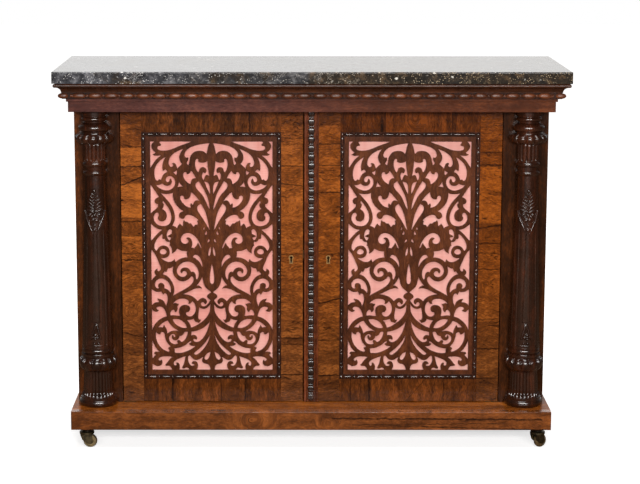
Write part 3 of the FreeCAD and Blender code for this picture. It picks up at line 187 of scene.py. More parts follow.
# ------------------------------------------------------------------ timber
def rosewood(name, grain, across, dark, mid, light, seed=0.0, leaves=(), span=(0.0, 1.0), streak=45.0, run=7.0, warp=0.02,
             swirl=1.0, contrast=1.0, mottle=1.0, lines=0.55, rough=0.30, coat=0.0, coat_rough=0.12, bump=0.10, marks=(),
             eyes=(), tone=0.0, speckle=0.25, spec=0.22, shade=(), fine=1.0, leaf_amp=1.0, well=None):
    """Polished rosewood. grain and across are axes (0 x, 1 y, 2 z) of the surface: fibres run along grain and growth
    bands repeat along across. leaves are (start along across, tone) of veneer leaves laid side by side, tone 0.5 being
    plain. marks are (position along across, slope, half width, depth, from, to) dark joints and figure lines, the last
    two being the range along grain. eyes are (across, grain, radius) ringed knots. The last argument is (x, z) of a
    keyhole whose inside is painted near black, a painted shade in the hole. shade entries are (axis, from, to, factor
    at from, factor at to) colour multipliers along an axis; some are tints, others are painted shade and painted light."""
    t = Tree(name)
    xyz = t.sep(t.obj)
    other = 3 - grain - across
    g, a, o = xyz[grain], xyz[across], xyz[other]
    ragged = t.sub(t.noise(t.comb(t.mul(a, 70.0), t.mul(g, 70.0), t.add(t.mul(o, 70.0), seed)), 1.0, 2.0, 0.6), 0.5)
    sa, sg, so = t.add(a, seed), t.add(g, seed * 1.9), t.add(o, seed * 0.7)
    leaf = None
    if leaves:
        lo, hi = span
        f = t.range(t.add(a, t.mul(ragged, 0.003)), lo, hi)
        stops = [((p - lo) / (hi - lo), (v, (i * 0.618 + seed) % 1.0, 0.0, 1.0)) for i, (p, v) in enumerate(leaves)]
        leaf, jump, _ = t.sep_colour(t.ramp(f, stops, "CONSTANT"))
        sa, sg = t.add(sa, t.mul(jump, 3.0)), t.add(sg, t.mul(jump, 5.0))
    base = t.comb(sa, sg, so)
    w1 = t.sub(t.noise(base, 7.0, 2.0, 0.5), 0.5)
    w2 = t.sub(t.noise(base, 27.0, 2.0, 0.55), 0.5)
    w3 = t.sub(t.noise(base, 75.0, 2.0, 0.55), 0.5)
    q = t.add(t.add(sa, t.mul(w1, warp * 2.0)), t.add(t.mul(w2, 0.016 * swirl), t.mul(w3, 0.005 * swirl)))
    for ea, eg, er in eyes:
        da, dg = t.sub(a, ea), t.mul(t.sub(g, eg), 0.75)
        d = t.math("SQRT", t.add(t.mul(da, da), t.mul(dg, dg)))
        near = t.range(t.add(d, t.mul(ragged, er * 0.3)), er * 0.35, er, 1.0, 0.0, smooth=True)
        q = t.add(q, t.mul(near, t.sub(t.mul(d, 1.6), da)))
    bands = t.noise(t.comb(t.mul(q, streak), t.mul(sg, run), t.mul(so, 9.0)), 1.0, 6.0, 0.66)
    thin = t.noise(t.comb(t.mul(q, streak * 1.25), t.mul(sg, run * 0.8), t.mul(so, 6.0)), 1.0, 3.0, 0.5)
    thin = t.range(t.math("ABSOLUTE", t.sub(thin, 0.5)), 0.0, 0.018, 1.0, 0.0, smooth=True)
    gate = t.range(t.noise(base, 21.0, 2.0, 0.5), 0.45, 0.57, 0.0, 1.0, smooth=True)
    thin = t.mul(thin, gate)
    cloud = t.noise(t.comb(t.mul(sa, 24.0), t.mul(sg, 15.0), so), 1.0, 3.0, 0.6)
    mott = t.noise(t.comb(t.mul(q, 95.0), t.mul(sg, 48.0), so), 1.0, 4.0, 0.68)
    small = t.noise(t.comb(t.mul(q, 420.0), t.mul(sg, 110.0), t.mul(so, 420.0)), 1.0, 3.0, 0.65)
    fibre = t.noise(t.comb(t.mul(q, 1100.0), t.mul(sg, 30.0), t.mul(so, 1100.0)), 1.0, 2.0, 0.6)
    pore = t.noise(t.comb(t.mul(q, 1500.0), t.mul(sg, 120.0), t.mul(so, 1500.0)), 1.0, 1.0, 0.5)
    pore = t.range(pore, 0.60, 0.70, 0.0, 1.0)
    v = t.add(t.mul(t.sub(bands, 0.5), 0.95 * contrast), t.mul(t.sub(cloud, 0.5), 0.60 * contrast))
    v = t.add(v, t.mul(t.sub(mott, 0.5), 0.62 * mottle))
    v = t.add(v, t.mul(t.sub(small, 0.5), 0.52 * fine))
    v = t.add(v, t.mul(t.sub(fibre, 0.5), 0.22 * fine))
    v = t.add(v, 0.5 + tone)
    if leaf is not None:
        v = t.add(v, t.mul(t.sub(leaf, 0.5), leaf_amp))
    v = t.math("ADD", v, 0.0, clamp=True)
    half = tuple((d + m) / 2 for d, m in zip(dark, mid))
    top = tuple(min(1.0, c * 1.3) for c in light)
    colour = t.ramp(v, [(0.10, dark), (0.34, half), (0.50, mid), (0.72, light), (0.95, top)])
    black = tuple(c * 0.30 for c in dark[:3]) + (1.0,)
    colour = t.mix(t.mul(thin, lines), colour, black)
    colour = t.mix(t.mul(pore, speckle), colour, black)
    for pos, slope, halfw, depth, g0, g1 in marks:
        line = t.math("ABSOLUTE", t.sub(t.sub(t.add(a, t.mul(ragged, 0.007)), pos), t.mul(g, slope)))
        line = t.range(line, halfw * 0.5, halfw * 1.45, 1.0, 0.0, smooth=True)
        inside = t.mul(t.range(g, g0 - 0.002, g0 + 0.002), t.range(g, g1 - 0.002, g1 + 0.002, 1.0, 0.0))
        broken = t.range(t.noise(t.comb(sa, t.mul(sg, 4.0), so), 12.0, 2.0, 0.6), 0.36, 0.50, 0.62, 1.0)
        colour = t.mix(t.mul(t.mul(t.mul(line, inside), broken), depth), colour, black)
    for axis, p0, p1, f0, f1 in shade:
        c0 = f0 if isinstance(f0, tuple) else (f0, f0, f0)
        c1 = f1 if isinstance(f1, tuple) else (f1, f1, f1)
        ks = [t.range(xyz[axis], p0, p1, u, w, smooth=True) for u, w in zip(c0, c1)]
        colour = t.mix(1.0, colour, t.comb(*ks), mode="MULTIPLY")
    # Painted shade: the inside of the keyhole is painted near black, as shadow in the hole.
    if well is not None:
        wx = t.range(t.math("ABSOLUTE", t.sub(xyz[0], well[0])), 0.0036, 0.0038, 1.0, 0.0)
        wz = t.range(t.math("ABSOLUTE", t.sub(xyz[2], well[1])), 0.0090, 0.0092, 1.0, 0.0)
        wy = t.range(xyz[1], -0.0868, -0.0866, 0.0, 1.0)
        colour = t.mix(t.mul(t.mul(wx, wz), t.mul(wy, 0.93)), colour, lin((6, 4, 3)))
    r = t.add(rough - 0.06, t.mul(t.noise(base, 30.0, 3.0, 0.6), 0.10))
    r = t.add(r, t.mul(pore, 0.12))
    height = t.add(t.mul(fibre, 0.5), t.mul(pore, -0.8))
    height = t.add(height, t.mul(t.noise(base, 45.0, 2.0, 0.5), 2.5))
    normal = t.bump(height, bump, 0.0006)
    return t.done(colour, r, normal, spec=spec, coat=coat, coat_rough=coat_rough)


def stile_mat(name, seed, leaves, **k):
    opts = dict(span=(0.10, 0.83), streak=46.0, run=10.0, warp=0.022, swirl=1.3, contrast=0.60, mottle=0.62, fine=1.5,
                leaf_amp=0.68, lines=0.80, rough=0.22, spec=0.15)
    opts.update(k)
    return rosewood(name, 0, 2, lin((38, 18, 8)), lin((113, 59, 20)), lin((165, 92, 34)), seed=seed, leaves=leaves, **opts)


def rail_mat(name, seed, leaves, span, **k):
    return rosewood(name, 2, 0, lin((32, 15, 6)), lin((84, 43, 15)), lin((122, 65, 25)), seed=seed, leaves=leaves,
                    span=span, streak=62.0, run=9.0, warp=0.010, swirl=0.7, contrast=0.75, fine=1.3, leaf_amp=0.60, rough=0.22, spec=0.15, **k)


LH, RH = (-0.462, -0.410), (0.407, 0.462)
LM, RM = (-0.074, -0.019), (0.016, 0.071)
MAT = {}
# Painted shade in the stiles' shade lists: the first entry darkens each stile's top under the cornice, a painted
# shadow; the second makes its lower part darker and bluer, painted shade with a painted reflection haze. The right
# stiles' further entries are tints.
MAT["stile_lh"] = stile_mat("veneer_left_hinge_stile", 0.37, [
    (0.10, 0.42), (0.165, 0.50), (0.215, 0.42), (0.285, 0.51), (0.350, 0.57), (0.418, 0.52), (0.4525, 0.49), (0.4725, 0.56),
    (0.5165, 0.36), (0.5600, 0.70), (0.6430, 0.52), (0.6870, 0.68), (0.7320, 0.44), (0.790, 0.38)],
    eyes=((0.538, -0.440, 0.018), (0.327, -0.437, 0.022)), shade=((2, 0.76, 0.83, 1.0, 0.70), (2, 0.13, 0.46, (0.80, 0.94, 1.45), (1.0, 1.0, 1.0))), marks=(
    (0.6870, 0.0, 0.0016, 0.75, *LH), (0.5600, 0.02, 0.0018, 0.75, *LH), (0.5165, 0.0, 0.0018, 0.7, *LH), (0.6980, 0.0, 0.0010, 0.5, *LH),
    (0.8340, 0.42, 0.0018, 0.9, *LH), (0.4725, 0.0, 0.0012, 0.7, *LH), (0.4525, -0.01, 0.0014, 0.75, *LH), (0.6040, 0.0, 0.0024, 1.0, -0.463, -0.454),
    (0.6130, 0.45, 0.0012, 0.6, *LH), (0.1550, -0.26, 0.0013, 0.8, *LH), (0.0890, -0.30, 0.0012, 0.7, *LH), (0.3160, 0.30, 0.0012, 0.7, *LH), (0.7320, 0.05, 0.0010, 0.4, *LH)))
# The left meeting stile's keyhole inside is painted near black, a painted shade.
MAT["stile_lm"] = stile_mat("veneer_left_meeting_stile", 1.91, [
    (0.10, 0.42), (0.167, 0.55), (0.244, 0.40), (0.262, 0.52), (0.375, 0.55), (0.452, 0.50), (0.472, 0.56), (0.560, 0.60), (0.640, 0.54), (0.688, 0.57), (0.765, 0.47)],
    eyes=((0.585, -0.050, 0.026),), well=(-0.0485, 0.458), shade=((2, 0.76, 0.83, 1.0, 0.62), (2, 0.13, 0.46, (0.80, 0.94, 1.45), (1.0, 1.0, 1.0))), marks=(
    (0.6880, 0.0, 0.0014, 0.7, *LM), (0.6380, -0.10, 0.0014, 0.75, *LM), (0.4715, 0.0, 0.0012, 0.6, *LM), (0.4520, 0.0, 0.0010, 0.5, *LM),
    (0.2600, -0.02, 0.0024, 0.7, *LM), (0.2450, 0.0, 0.0016, 0.6, *LM), (0.1690, 0.0, 0.0018, 0.8, *LM), (0.7620, 0.10, 0.0022, 0.8, -0.064, -0.050), (0.1160, 0.9, 0.0010, 0.5, *LM)))
MAT["stile_rm"] = stile_mat("veneer_right_meeting_stile", 2.67, [
    (0.10, 0.40), (0.167, 0.50), (0.252, 0.45), (0.275, 0.51), (0.352, 0.56), (0.455, 0.49), (0.476, 0.52), (0.560, 0.50), (0.622, 0.58), (0.690, 0.54), (0.742, 0.58), (0.785, 0.45)],
    eyes=((0.597, 0.034, 0.018),), shade=((2, 0.76, 0.83, 1.0, 0.62), (2, 0.13, 0.46, (0.80, 0.94, 1.45), (1.0, 1.0, 1.0)), (2, 0.0, 1.0, (0.90, 0.86, 0.74), (0.90, 0.86, 0.74))), marks=(
    (0.7420, 0.0, 0.0014, 0.8, *RM), (0.7280, 0.05, 0.0010, 0.5, *RM), (0.6900, 0.0, 0.0014, 0.75, *RM), (0.6800, -0.05, 0.0012, 0.6, 0.03, 0.06), (0.6240, 0.0, 0.0018, 0.7, *RM),
    (0.4720, 0.0, 0.0012, 0.6, *RM), (0.3430, 0.26, 0.0020, 0.85, *RM), (0.2560, 0.0, 0.0020, 0.6, *RM), (0.1670, 0.0, 0.0018, 0.8, *RM), (0.5280, 0.15, 0.0010, 0.4, *RM)))
MAT["stile_rh"] = stile_mat("veneer_right_hinge_stile", 3.43, [
    (0.10, 0.40), (0.160, 0.46), (0.235, 0.42), (0.300, 0.50), (0.365, 0.49), (0.435, 0.46), (0.505, 0.40), (0.545, 0.60), (0.600, 0.66), (0.655, 0.60), (0.690, 0.46), (0.722, 0.50), (0.750, 0.52), (0.800, 0.42)],
    eyes=((0.382, 0.434, 0.020), (0.520, 0.430, 0.016), (0.562, 0.421, 0.010)), shade=((2, 0.76, 0.83, 1.0, 0.62), (2, 0.13, 0.46, (0.80, 0.94, 1.45), (1.0, 1.0, 1.0)), (2, 0.0, 0.8, (0.88, 0.86, 0.80), (0.88, 0.78, 0.48))), marks=(
    (0.5600, 0.0, 0.0026, 0.8, 0.415, 0.426),
    (0.7500, 0.0, 0.0014, 0.7, *RH), (0.7220, 0.0, 0.0014, 0.65, *RH), (0.6900, 0.0, 0.0026, 0.85, *RH), (0.4680, 0.165, 0.0020, 0.85, *RH), (0.4980, 0.0, 0.0016, 0.7, *RH),
    (0.4860, -0.03, 0.0012, 0.6, *RH), (0.4340, 0.0, 0.0014, 0.7, *RH), (0.2960, 0.03, 0.0014, 0.6, *RH), (0.2350, 0.0, 0.0018, 0.7, *RH), (0.1600, 0.0, 0.0012, 0.5, *RH), (0.8650, -0.60, 0.0010, 0.5, *RH)))
# Painted shadow: the top rails' shade entries darken their upper edge under the cornice; the right top rail's entry
# also tints it warmer.
MAT["rail_lt"] = rail_mat("veneer_left_top_rail", 4.19, [
    (-0.425, 0.46), (-0.372, 0.54), (-0.335, 0.28), (-0.304, 0.55), (-0.266, 0.47), (-0.247, 0.58), (-0.219, 0.28), (-0.186, 0.52), (-0.149, 0.44), (-0.120, 0.56), (-0.072, 0.56)], (-0.425, -0.05),
    marks=((-0.1490, 0.0, 0.0020, 0.8, 0.76, 0.83), (-0.3040, 0.0, 0.0012, 0.6, 0.76, 0.83), (-0.7300, 0.8, 0.0012, 0.3, 0.76, 0.83)), eyes=((-0.105, 0.800, 0.020),), shade=((2, 0.79, 0.828, 1.0, 0.72),))
MAT["rail_rt"] = rail_mat("veneer_right_top_rail", 5.23, [
    (0.055, 0.38), (0.115, 0.50), (0.165, 0.22), (0.179, 0.64), (0.325, 0.52), (0.338, 0.16), (0.349, 0.50), (0.372, 0.40), (0.390, 0.52)], (0.055, 0.425),
    marks=((0.1700, 0.0, 0.0026, 0.8, 0.76, 0.83), (0.1200, 0.0, 0.0012, 0.5, 0.76, 0.83), (0.0980, 0.0, 0.0010, 0.4, 0.76, 0.83)), eyes=((0.250, 0.805, 0.030),), shade=((2, 0.79, 0.828, (0.96, 0.82, 0.52), (0.70, 0.58, 0.38)),))
MAT["rail_lb"] = rail_mat("veneer_left_bottom_rail", 6.71, [
    (-0.425, 0.30), (-0.376, 0.46), (-0.345, 0.26), (-0.333, 0.54), (-0.222, 0.40), (-0.176, 0.46), (-0.163, 0.34), (-0.140, 0.56), (-0.085, 0.50)], (-0.425, -0.05),
    marks=((-0.3400, 0.0, 0.0024, 0.8, 0.10, 0.16), (-0.1640, 0.02, 0.0016, 0.7, 0.10, 0.16), (-0.1500, 0.0, 0.0012, 0.6, 0.10, 0.16), (-0.2210, 0.0, 0.0012, 0.6, 0.10, 0.16)), eyes=((-0.196, 0.128, 0.020),))
MAT["rail_rb"] = rail_mat("veneer_right_bottom_rail", 7.07, [
    (0.055, 0.46), (0.075, 0.36), (0.098, 0.42), (0.122, 0.36), (0.148, 0.53), (0.265, 0.56), (0.325, 0.40), (0.345, 0.46), (0.380, 0.40)], (0.055, 0.425),
    marks=((0.0980, 0.0, 0.0014, 0.7, 0.10, 0.16), (0.1220, 0.0, 0.0012, 0.7, 0.10, 0.16), (0.1440, 0.0, 0.0022, 0.8, 0.10, 0.16), (0.3270, 0.0, 0.0012, 0.6, 0.10, 0.16), (0.1480, 0.85, 0.0012, 0.6, 0.10, 0.16)))
# The frieze's shade entry turns its left end bluer, a painted reflection, and its right end warmer in tone.
MAT["frieze"] = rosewood("rosewood_frieze", 0, 2, lin((40, 22, 17)), lin((78, 45, 37)), lin((108, 65, 50)), seed=8.3, streak=70.0, run=2.6, warp=0.008, swirl=0.4, contrast=0.6, mottle=0.6, lines=0.25, rough=0.22,
                         spec=0.14, shade=((0, -0.25, 0.35, (0.98, 1.0, 1.15), (1.04, 0.86, 0.52)),))
MAT["frieze_y"] = rosewood("rosewood_frieze_sides", 1, 2, lin((42, 20, 13)), lin((82, 43, 28)), lin((112, 60, 38)), seed=10.3, streak=70.0, run=2.6, warp=0.008, swirl=0.4, contrast=0.6, mottle=0.6, lines=0.25, rough=0.26)
MAT["cornice"] = rosewood("rosewood_cornice", 0, 2, lin((24, 11, 6)), lin((56, 28, 15)), lin((86, 46, 26)), seed=9.1, streak=80.0, run=3.0, warp=0.006, swirl=0.4, contrast=0.8, mottle=0.6, lines=0.35, rough=0.26, spec=0.35)
MAT["cornice_y"] = rosewood("rosewood_cornice_sides", 1, 2, lin((24, 11, 6)), lin((56, 28, 15)), lin((86, 46, 26)), seed=9.7, streak=80.0, run=3.0, warp=0.006, swirl=0.4, contrast=0.8, mottle=0.6, lines=0.35, rough=0.26, spec=0.35)
# Painted shade and light: each pilaster is darkened beside its column, a painted shadow of the column, and lightened
# towards its outer edge, painted light.
MAT["pilaster"] = rosewood("rosewood_pilaster", 2, 0, lin((18, 8, 4)), lin((54, 27, 11)), lin((90, 46, 18)), seed=11.9, streak=60.0, run=3.0, warp=0.008, swirl=0.5, contrast=0.8, mottle=0.5, rough=0.22, spec=0.13,
                           shade=((0, 0.474, 0.500, 0.98, 0.42), (0, 0.545, 0.566, 1.0, 2.0), (0, -0.500, -0.474, 0.42, 0.98), (0, -0.563, -0.545, 4.4, 1.0)))
MAT["side"] = rosewood("rosewood_side", 2, 1, lin((48, 24, 12)), lin((124, 70, 34)), lin((168, 102, 50)), seed=12.7, streak=28.0, run=2.6, warp=0.035, swirl=0.8, contrast=1.0, mottle=0.8, rough=0.30)
# Painted light: the plinth's top face is painted about twice as light as its front, light from above; the first shade
# entry only makes its left end a little darker.
MAT["plinth"] = rosewood("rosewood_plinth", 0, 2, lin((36, 17, 8)), lin((102, 55, 24)), lin((142, 80, 36)), seed=13.3, streak=52.0, run=3.2, warp=0.020, swirl=1.0, contrast=0.8, mottle=0.85, lines=0.6, rough=0.26, coat=0.35, coat_rough=0.10, spec=0.22,
                         shade=((0, -0.42, -0.15, 0.94, 1.12), (2, 0.0990, 0.0994, (1.0, 1.0, 1.0), (2.1, 2.0, 1.15))), eyes=((0.080, -0.145, 0.055), (0.072, 0.045, 0.030)), marks=((0.0835, -0.006, 0.0020, 0.8, 0.05, 0.56), (0.0710, -0.030, 0.0016, 0.7, 0.20, 0.57), (0.0660, 0.010, 0.0012, 0.6, 0.10, 0.45)))
# Painted light: the top face of the plinth sides is painted lighter than their faces, light from above.
MAT["plinth_y"] = rosewood("rosewood_plinth_sides", 1, 2, lin((34, 17, 9)), lin((94, 51, 25)), lin((132, 76, 38)), seed=14.1, streak=52.0, run=3.2, warp=0.015, swirl=0.9, contrast=0.85, mottle=0.85, rough=0.30, spec=0.05,
                           shade=((2, 0.0990, 0.0994, (1.0, 1.0, 1.0), (2.4, 2.2, 1.1)),))
MAT["board"] = rosewood("rosewood_plinth_board", 0, 1, lin((60, 30, 10)), lin((148, 80, 26)), lin((194, 112, 42)), seed=15.5, streak=36.0, run=3.0, warp=0.020, swirl=0.8, contrast=0.85, mottle=0.8, rough=0.26, spec=0.06)
# Painted light: the first shade entry lifts the fluted drum under the capital gadroon 1.75 times, painted light in its
# shaded recess; the second brings the capital above it back down to about 1.3 times.
MAT["column"] = rosewood("rosewood_column", 2, 0, lin((12, 6, 4)), lin((38, 18, 10)), lin((73, 34, 17)), seed=16.9, streak=110.0, run=2.4, warp=0.004, swirl=0.3, contrast=0.7, mottle=0.3, lines=0.3, rough=0.22, fine=0.5,
                         coat=0.50, coat_rough=0.10, bump=0.02, speckle=0.15, spec=0.5, shade=((2, 0.700, 0.706, 1.0, 1.75), (2, 0.745, 0.751, 1.0, 0.74)))
MAT["fret"] = rosewood("rosewood_fret", 2, 0, lin((32, 16, 9)), lin((80, 42, 24)), lin((110, 61, 35)), seed=17.7, streak=50.0, run=4.0, warp=0.012, swirl=0.6, contrast=0.7, mottle=0.7, lines=0.3, rough=0.26, spec=0.16)
MAT["bead_edge"] = rosewood("rosewood_bead_edges", 2, 0, lin((16, 8, 6)), lin((44, 22, 14)), lin((76, 40, 26)), seed=18.1, streak=90.0, run=4.0, warp=0.006, swirl=0.4, contrast=0.9, lines=0.2, rough=0.42, speckle=0.15, spec=0.10)
MAT["astragal_bead"] = rosewood("rosewood_astragal_beads", 2, 0, lin((14, 9, 7)), lin((38, 23, 17)), lin((72, 44, 32)), seed=18.3, streak=90.0, run=4.0, warp=0.006, swirl=0.4, contrast=0.9, lines=0.2, rough=0.26,
                                coat=0.35, coat_rough=0.12, bump=0.02, speckle=0.15, spec=0.4)
MAT["bead"] = rosewood("rosewood_bead_ebonised", 2, 0, lin((16, 9, 7)), lin((46, 26, 19)), lin((84, 48, 34)), seed=18.9, streak=90.0, run=4.0, warp=0.006, swirl=0.4, contrast=0.9, lines=0.2, rough=0.20,
                       coat=0.60, coat_rough=0.07, bump=0.03, speckle=0.15, spec=0.5)
MAT["cbead"] = rosewood("rosewood_cornice_bead", 0, 2, lin((34, 16, 9)), lin((84, 44, 25)), lin((120, 66, 38)), seed=19.3, streak=80.0, run=4.0, warp=0.006, swirl=0.4, contrast=0.8, lines=0.2, rough=0.36,
                        coat=0.16, coat_rough=0.20, bump=0.03, speckle=0.15, spec=0.4)
MAT["fillet"] = rosewood("rosewood_astragal", 2, 0, lin((40, 18, 9)), lin((96, 47, 24)), lin((128, 66, 35)), seed=20.7, streak=90.0, run=3.0, warp=0.006, swirl=0.4, contrast=0.7, lines=0.2, rough=0.26)


def inner_wood(name, grain, across, seed):
    return rosewood(name, grain, across, lin((104, 72, 44)), lin((150, 110, 72)), lin((182, 144, 100)), seed=seed, streak=32.0, run=2.4,
                    warp=0.03, swirl=0.8, contrast=0.75, rough=0.55, bump=0.18, speckle=0.25, lines=0.25)


MAT["pine_x"] = inner_wood("inner_wood_boards", 0, 2, 21.3)
MAT["pine_xh"] = inner_wood("inner_wood_shelves", 0, 1, 22.9)
MAT["pine_z"] = inner_wood("inner_wood_upright", 2, 0, 23.5)
MAT["back"] = rosewood("back_wood", 2, 0, lin((52, 33, 20)), lin((100, 68, 42)), lin((136, 96, 60)), seed=24.1, streak=30.0, run=2.4, warp=0.03,
                       swirl=0.8, contrast=0.95, rough=0.62, bump=0.25, speckle=0.3, lines=0.3)


# ------------------------------------------------------------------ marble
def marble():
    t = Tree("fossil_marble")
    x, y, z = t.sep(t.obj)
    p = t.comb(x, y, z)
    warm = t.range(x, -0.20, 0.40, 0.0, 1.0, smooth=True)
    n1 = t.noise(p, 9.0, 6.0, 0.62, 0.6)
    n2 = t.noise(p, 60.0, 6.0, 0.70, 0.3)
    n3 = t.noise(p, 240.0, 4.0, 0.70)
    grey = t.ramp(n2, [(0.30, lin((16, 16, 18))), (0.50, lin((46, 46, 49))), (0.72, lin((112, 111, 112)))])
    brown = t.ramp(n2, [(0.30, lin((9, 7, 4))), (0.52, lin((36, 26, 14))), (0.74, lin((96, 72, 42)))])
    patch = t.range(t.add(n1, t.mul(warm, 0.30)), 0.50, 0.60, 0.0, 1.0, smooth=True)
    colour = t.mix(patch, grey, brown)
    shadowy = t.range(t.noise(t.comb(t.mul(x, 1.0), t.mul(y, 1.0), t.mul(z, 0.5)), 7.0, 2.0, 0.5, 0.5), 0.50, 0.60, 0.0, 1.0, smooth=True)
    colour = t.mix(t.mul(shadowy, 0.55), colour, lin((14, 14, 14)))
    # fine shelly flecks, larger cream blotches and thin calcite lines
    cell = t.voronoi(t.comb(t.mul(x, 210.0), t.mul(y, 210.0), t.mul(z, 260.0)), 1.0)
    fleck = t.mul(t.range(t.add(cell, t.mul(t.sub(n3, 0.5), 0.25)), 0.20, 0.30, 1.0, 0.0, smooth=True), t.range(t.noise(p, 70.0, 3.0, 0.6), 0.47, 0.56))
    cell2 = t.voronoi(t.comb(t.mul(x, 46.0), t.mul(y, 46.0), t.mul(z, 60.0)), 1.0)
    blotch = t.mul(t.range(t.add(cell2, t.mul(t.sub(n3, 0.5), 0.35)), 0.12, 0.20, 1.0, 0.0, smooth=True), t.range(t.noise(p, 15.0, 1.0), 0.55, 0.60))
    crack = t.range(t.math("ABSOLUTE", t.sub(t.noise(p, 22.0, 5.0, 0.65, 1.2), 0.5)), 0.0, 0.010, 1.0, 0.0, smooth=True)
    crack = t.mul(crack, t.range(t.noise(p, 13.0, 2.0), 0.5, 0.60))
    cream = t.mix(warm, lin((190, 187, 180)), lin((196, 172, 136)))
    colour = t.mix(t.mul(fleck, 0.72), colour, cream)
    colour = t.mix(t.mul(blotch, 0.85), colour, lin((220, 216, 206)))
    colour = t.mix(t.mul(crack, 0.50), colour, cream)
    paler = [t.range(x, -0.58, -0.10, k, 1.0, smooth=True) for k in (1.30, 1.33, 1.42)]
    colour = t.mix(1.0, colour, t.comb(*paler), mode="MULTIPLY")
    rough = t.add(0.12, t.mul(n2, 0.12))
    chip = t.range(t.noise(p, 520.0, 2.0), 0.66, 0.74)
    normal = t.bump(t.add(t.mul(n3, 0.4), t.mul(chip, -1.0)), 0.05, 0.0004)
    return t.done(colour, rough, normal, spec=0.5, ior=1.5)


MAT["marble"] = marble()


# ------------------------------------------------------------------ silk
def silk():
    t = Tree("pink_silk")
    x, y, z = t.sep(t.obj)
    p = t.comb(x, y, z)
    warp_t = t.noise(t.comb(t.mul(x, 2600.0), y, t.mul(z, 20.0)), 1.0, 1.0)
    weft = t.noise(t.comb(t.mul(x, 12.0), y, t.mul(z, 2100.0)), 1.0, 2.0, 0.7)
    slub = t.noise(t.comb(t.mul(x, 9.0), y, t.mul(z, 420.0)), 1.0, 2.0, 0.6)
    cloud = t.noise(t.comb(t.mul(x, 9.0), y, t.mul(z, 5.0)), 1.0, 3.0, 0.55)
    streaks = t.noise(t.comb(t.mul(x, 60.0), y, t.mul(z, 3.0)), 1.0, 2.0, 0.5)
    v = t.add(t.mul(t.sub(cloud, 0.5), 0.9), t.add(t.mul(t.sub(streaks, 0.5), 0.55), t.mul(t.sub(slub, 0.5), 0.45)))
    v = t.add(v, t.mul(t.sub(weft, 0.5), 0.35))
    v = t.math("ADD", v, 0.5, clamp=True)
    colour = t.ramp(v, [(0.15, lin((214, 132, 118))), (0.5, lin((232, 158, 144))), (0.85, lin((243, 186, 172)))])
    fade = t.range(z, 0.16, 0.30, 0.30, 0.0, smooth=True)
    colour = t.mix(fade, colour, lin((246, 208, 190)))
    colour = t.mix(t.range(x, -0.05, 0.05, 0.0, 0.22), colour, lin((236, 190, 178)))
    colour = t.mix(1.0, colour, (0.885, 0.885, 0.925, 1.0), mode="MULTIPLY")
    h = t.add(t.mul(warp_t, 0.6), t.add(t.mul(weft, 0.8), t.mul(slub, 0.8)))
    normal = t.bump(h, 0.25, 0.0003)
    return t.done(colour, 0.55, normal, spec=0.35, sheen=0.25, sheen_rough=0.35, sheen_tint=lin((255, 214, 204)))


MAT["silk"] = silk()


# ------------------------------------------------------------------ metals
def metal(name, base, dark, rough, tarnish=0.5, scale=90.0, bump=0.15):
    t = Tree(name)
    n = t.noise(t.obj, scale, 4.0, 0.6)
    fine = t.noise(t.obj, scale * 9.0, 3.0, 0.6)
    scratch = t.noise(t.obj, scale * 22.0, 2.0, 0.8)
    f = t.range(t.add(n, t.mul(t.sub(fine, 0.5), 0.4)), 0.5 - tarnish * 0.3, 0.78, 0.0, 1.0, smooth=True)
    colour = t.mix(f, base, dark)
    r = t.add(rough, t.add(t.mul(f, 0.22), t.mul(t.sub(scratch, 0.5), 0.12)))
    normal = t.bump(t.add(fine, t.mul(scratch, 0.5)), bump, 0.0004)
    return t.done(colour, r, normal, metal=1.0)


MAT["brass"] = metal("old_brass", lin((186, 150, 96)), lin((96, 70, 40)), 0.28, 0.7)
MAT["castor_brass"] = metal("castor_brass_tarnished", lin((206, 190, 148)), lin((120, 106, 76)), 0.34, 0.7)
MAT["dark_brass"] = metal("old_brass_dark", lin((84, 66, 42)), lin((38, 30, 20)), 0.40, 0.9)
MAT["castor_bronze"] = metal("castor_fork_bronze", lin((128, 116, 88)), lin((40, 36, 28)), 0.36, 1.1)
MAT["steel"] = metal("lock_steel", lin((150, 148, 144)), lin((82, 76, 70)), 0.34, 0.6)


def iron():
    t = Tree("castor_iron_painted")
    n = t.noise(t.obj, 140.0, 5.0, 0.65)
    f = t.range(n, 0.48, 0.66, 0.0, 1.0, smooth=True)
    colour = t.mix(f, lin((36, 33, 29)), lin((66, 58, 48)))
    normal = t.bump(t.noise(t.obj, 700.0, 3.0, 0.6), 0.25, 0.0005)
    return t.done(colour, t.add(0.34, t.mul(f, 0.2)), normal, metal=0.55)


MAT["iron"] = iron()


# ------------------------------------------------------------------ mesh helpers
def new_obj(name, verts, faces, mat, body, smooth=True, sharp=None):
    me = bpy.data.meshes.new(name)
    me.from_pydata([tuple(v) for v in verts], [], [tuple(f) for f in faces])
    me.validate()
    me.materials.append(mat)
    me.polygons.foreach_set("use_smooth", [bool(smooth)] * len(me.polygons))
    if smooth and sharp is not None:
        me.set_sharp_from_angle(angle=math.radians(sharp))
    o = bpy.data.objects.new(name, me)
    scene.collection.objects.link(o)
    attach(o, body)
    return o


def grid_faces(rows, cols, offset=0, wrap=True):
    """Quads of a rows x cols grid of points, wrapping round its columns."""
    out = []
    last = cols if wrap else cols - 1
    for i in range(rows - 1):
        for j in range(last):
            k = (j + 1) % cols
            out.append((offset + i * cols + j, offset + i * cols + k, offset + (i + 1) * cols + k, offset + (i + 1) * cols + j))
    return out


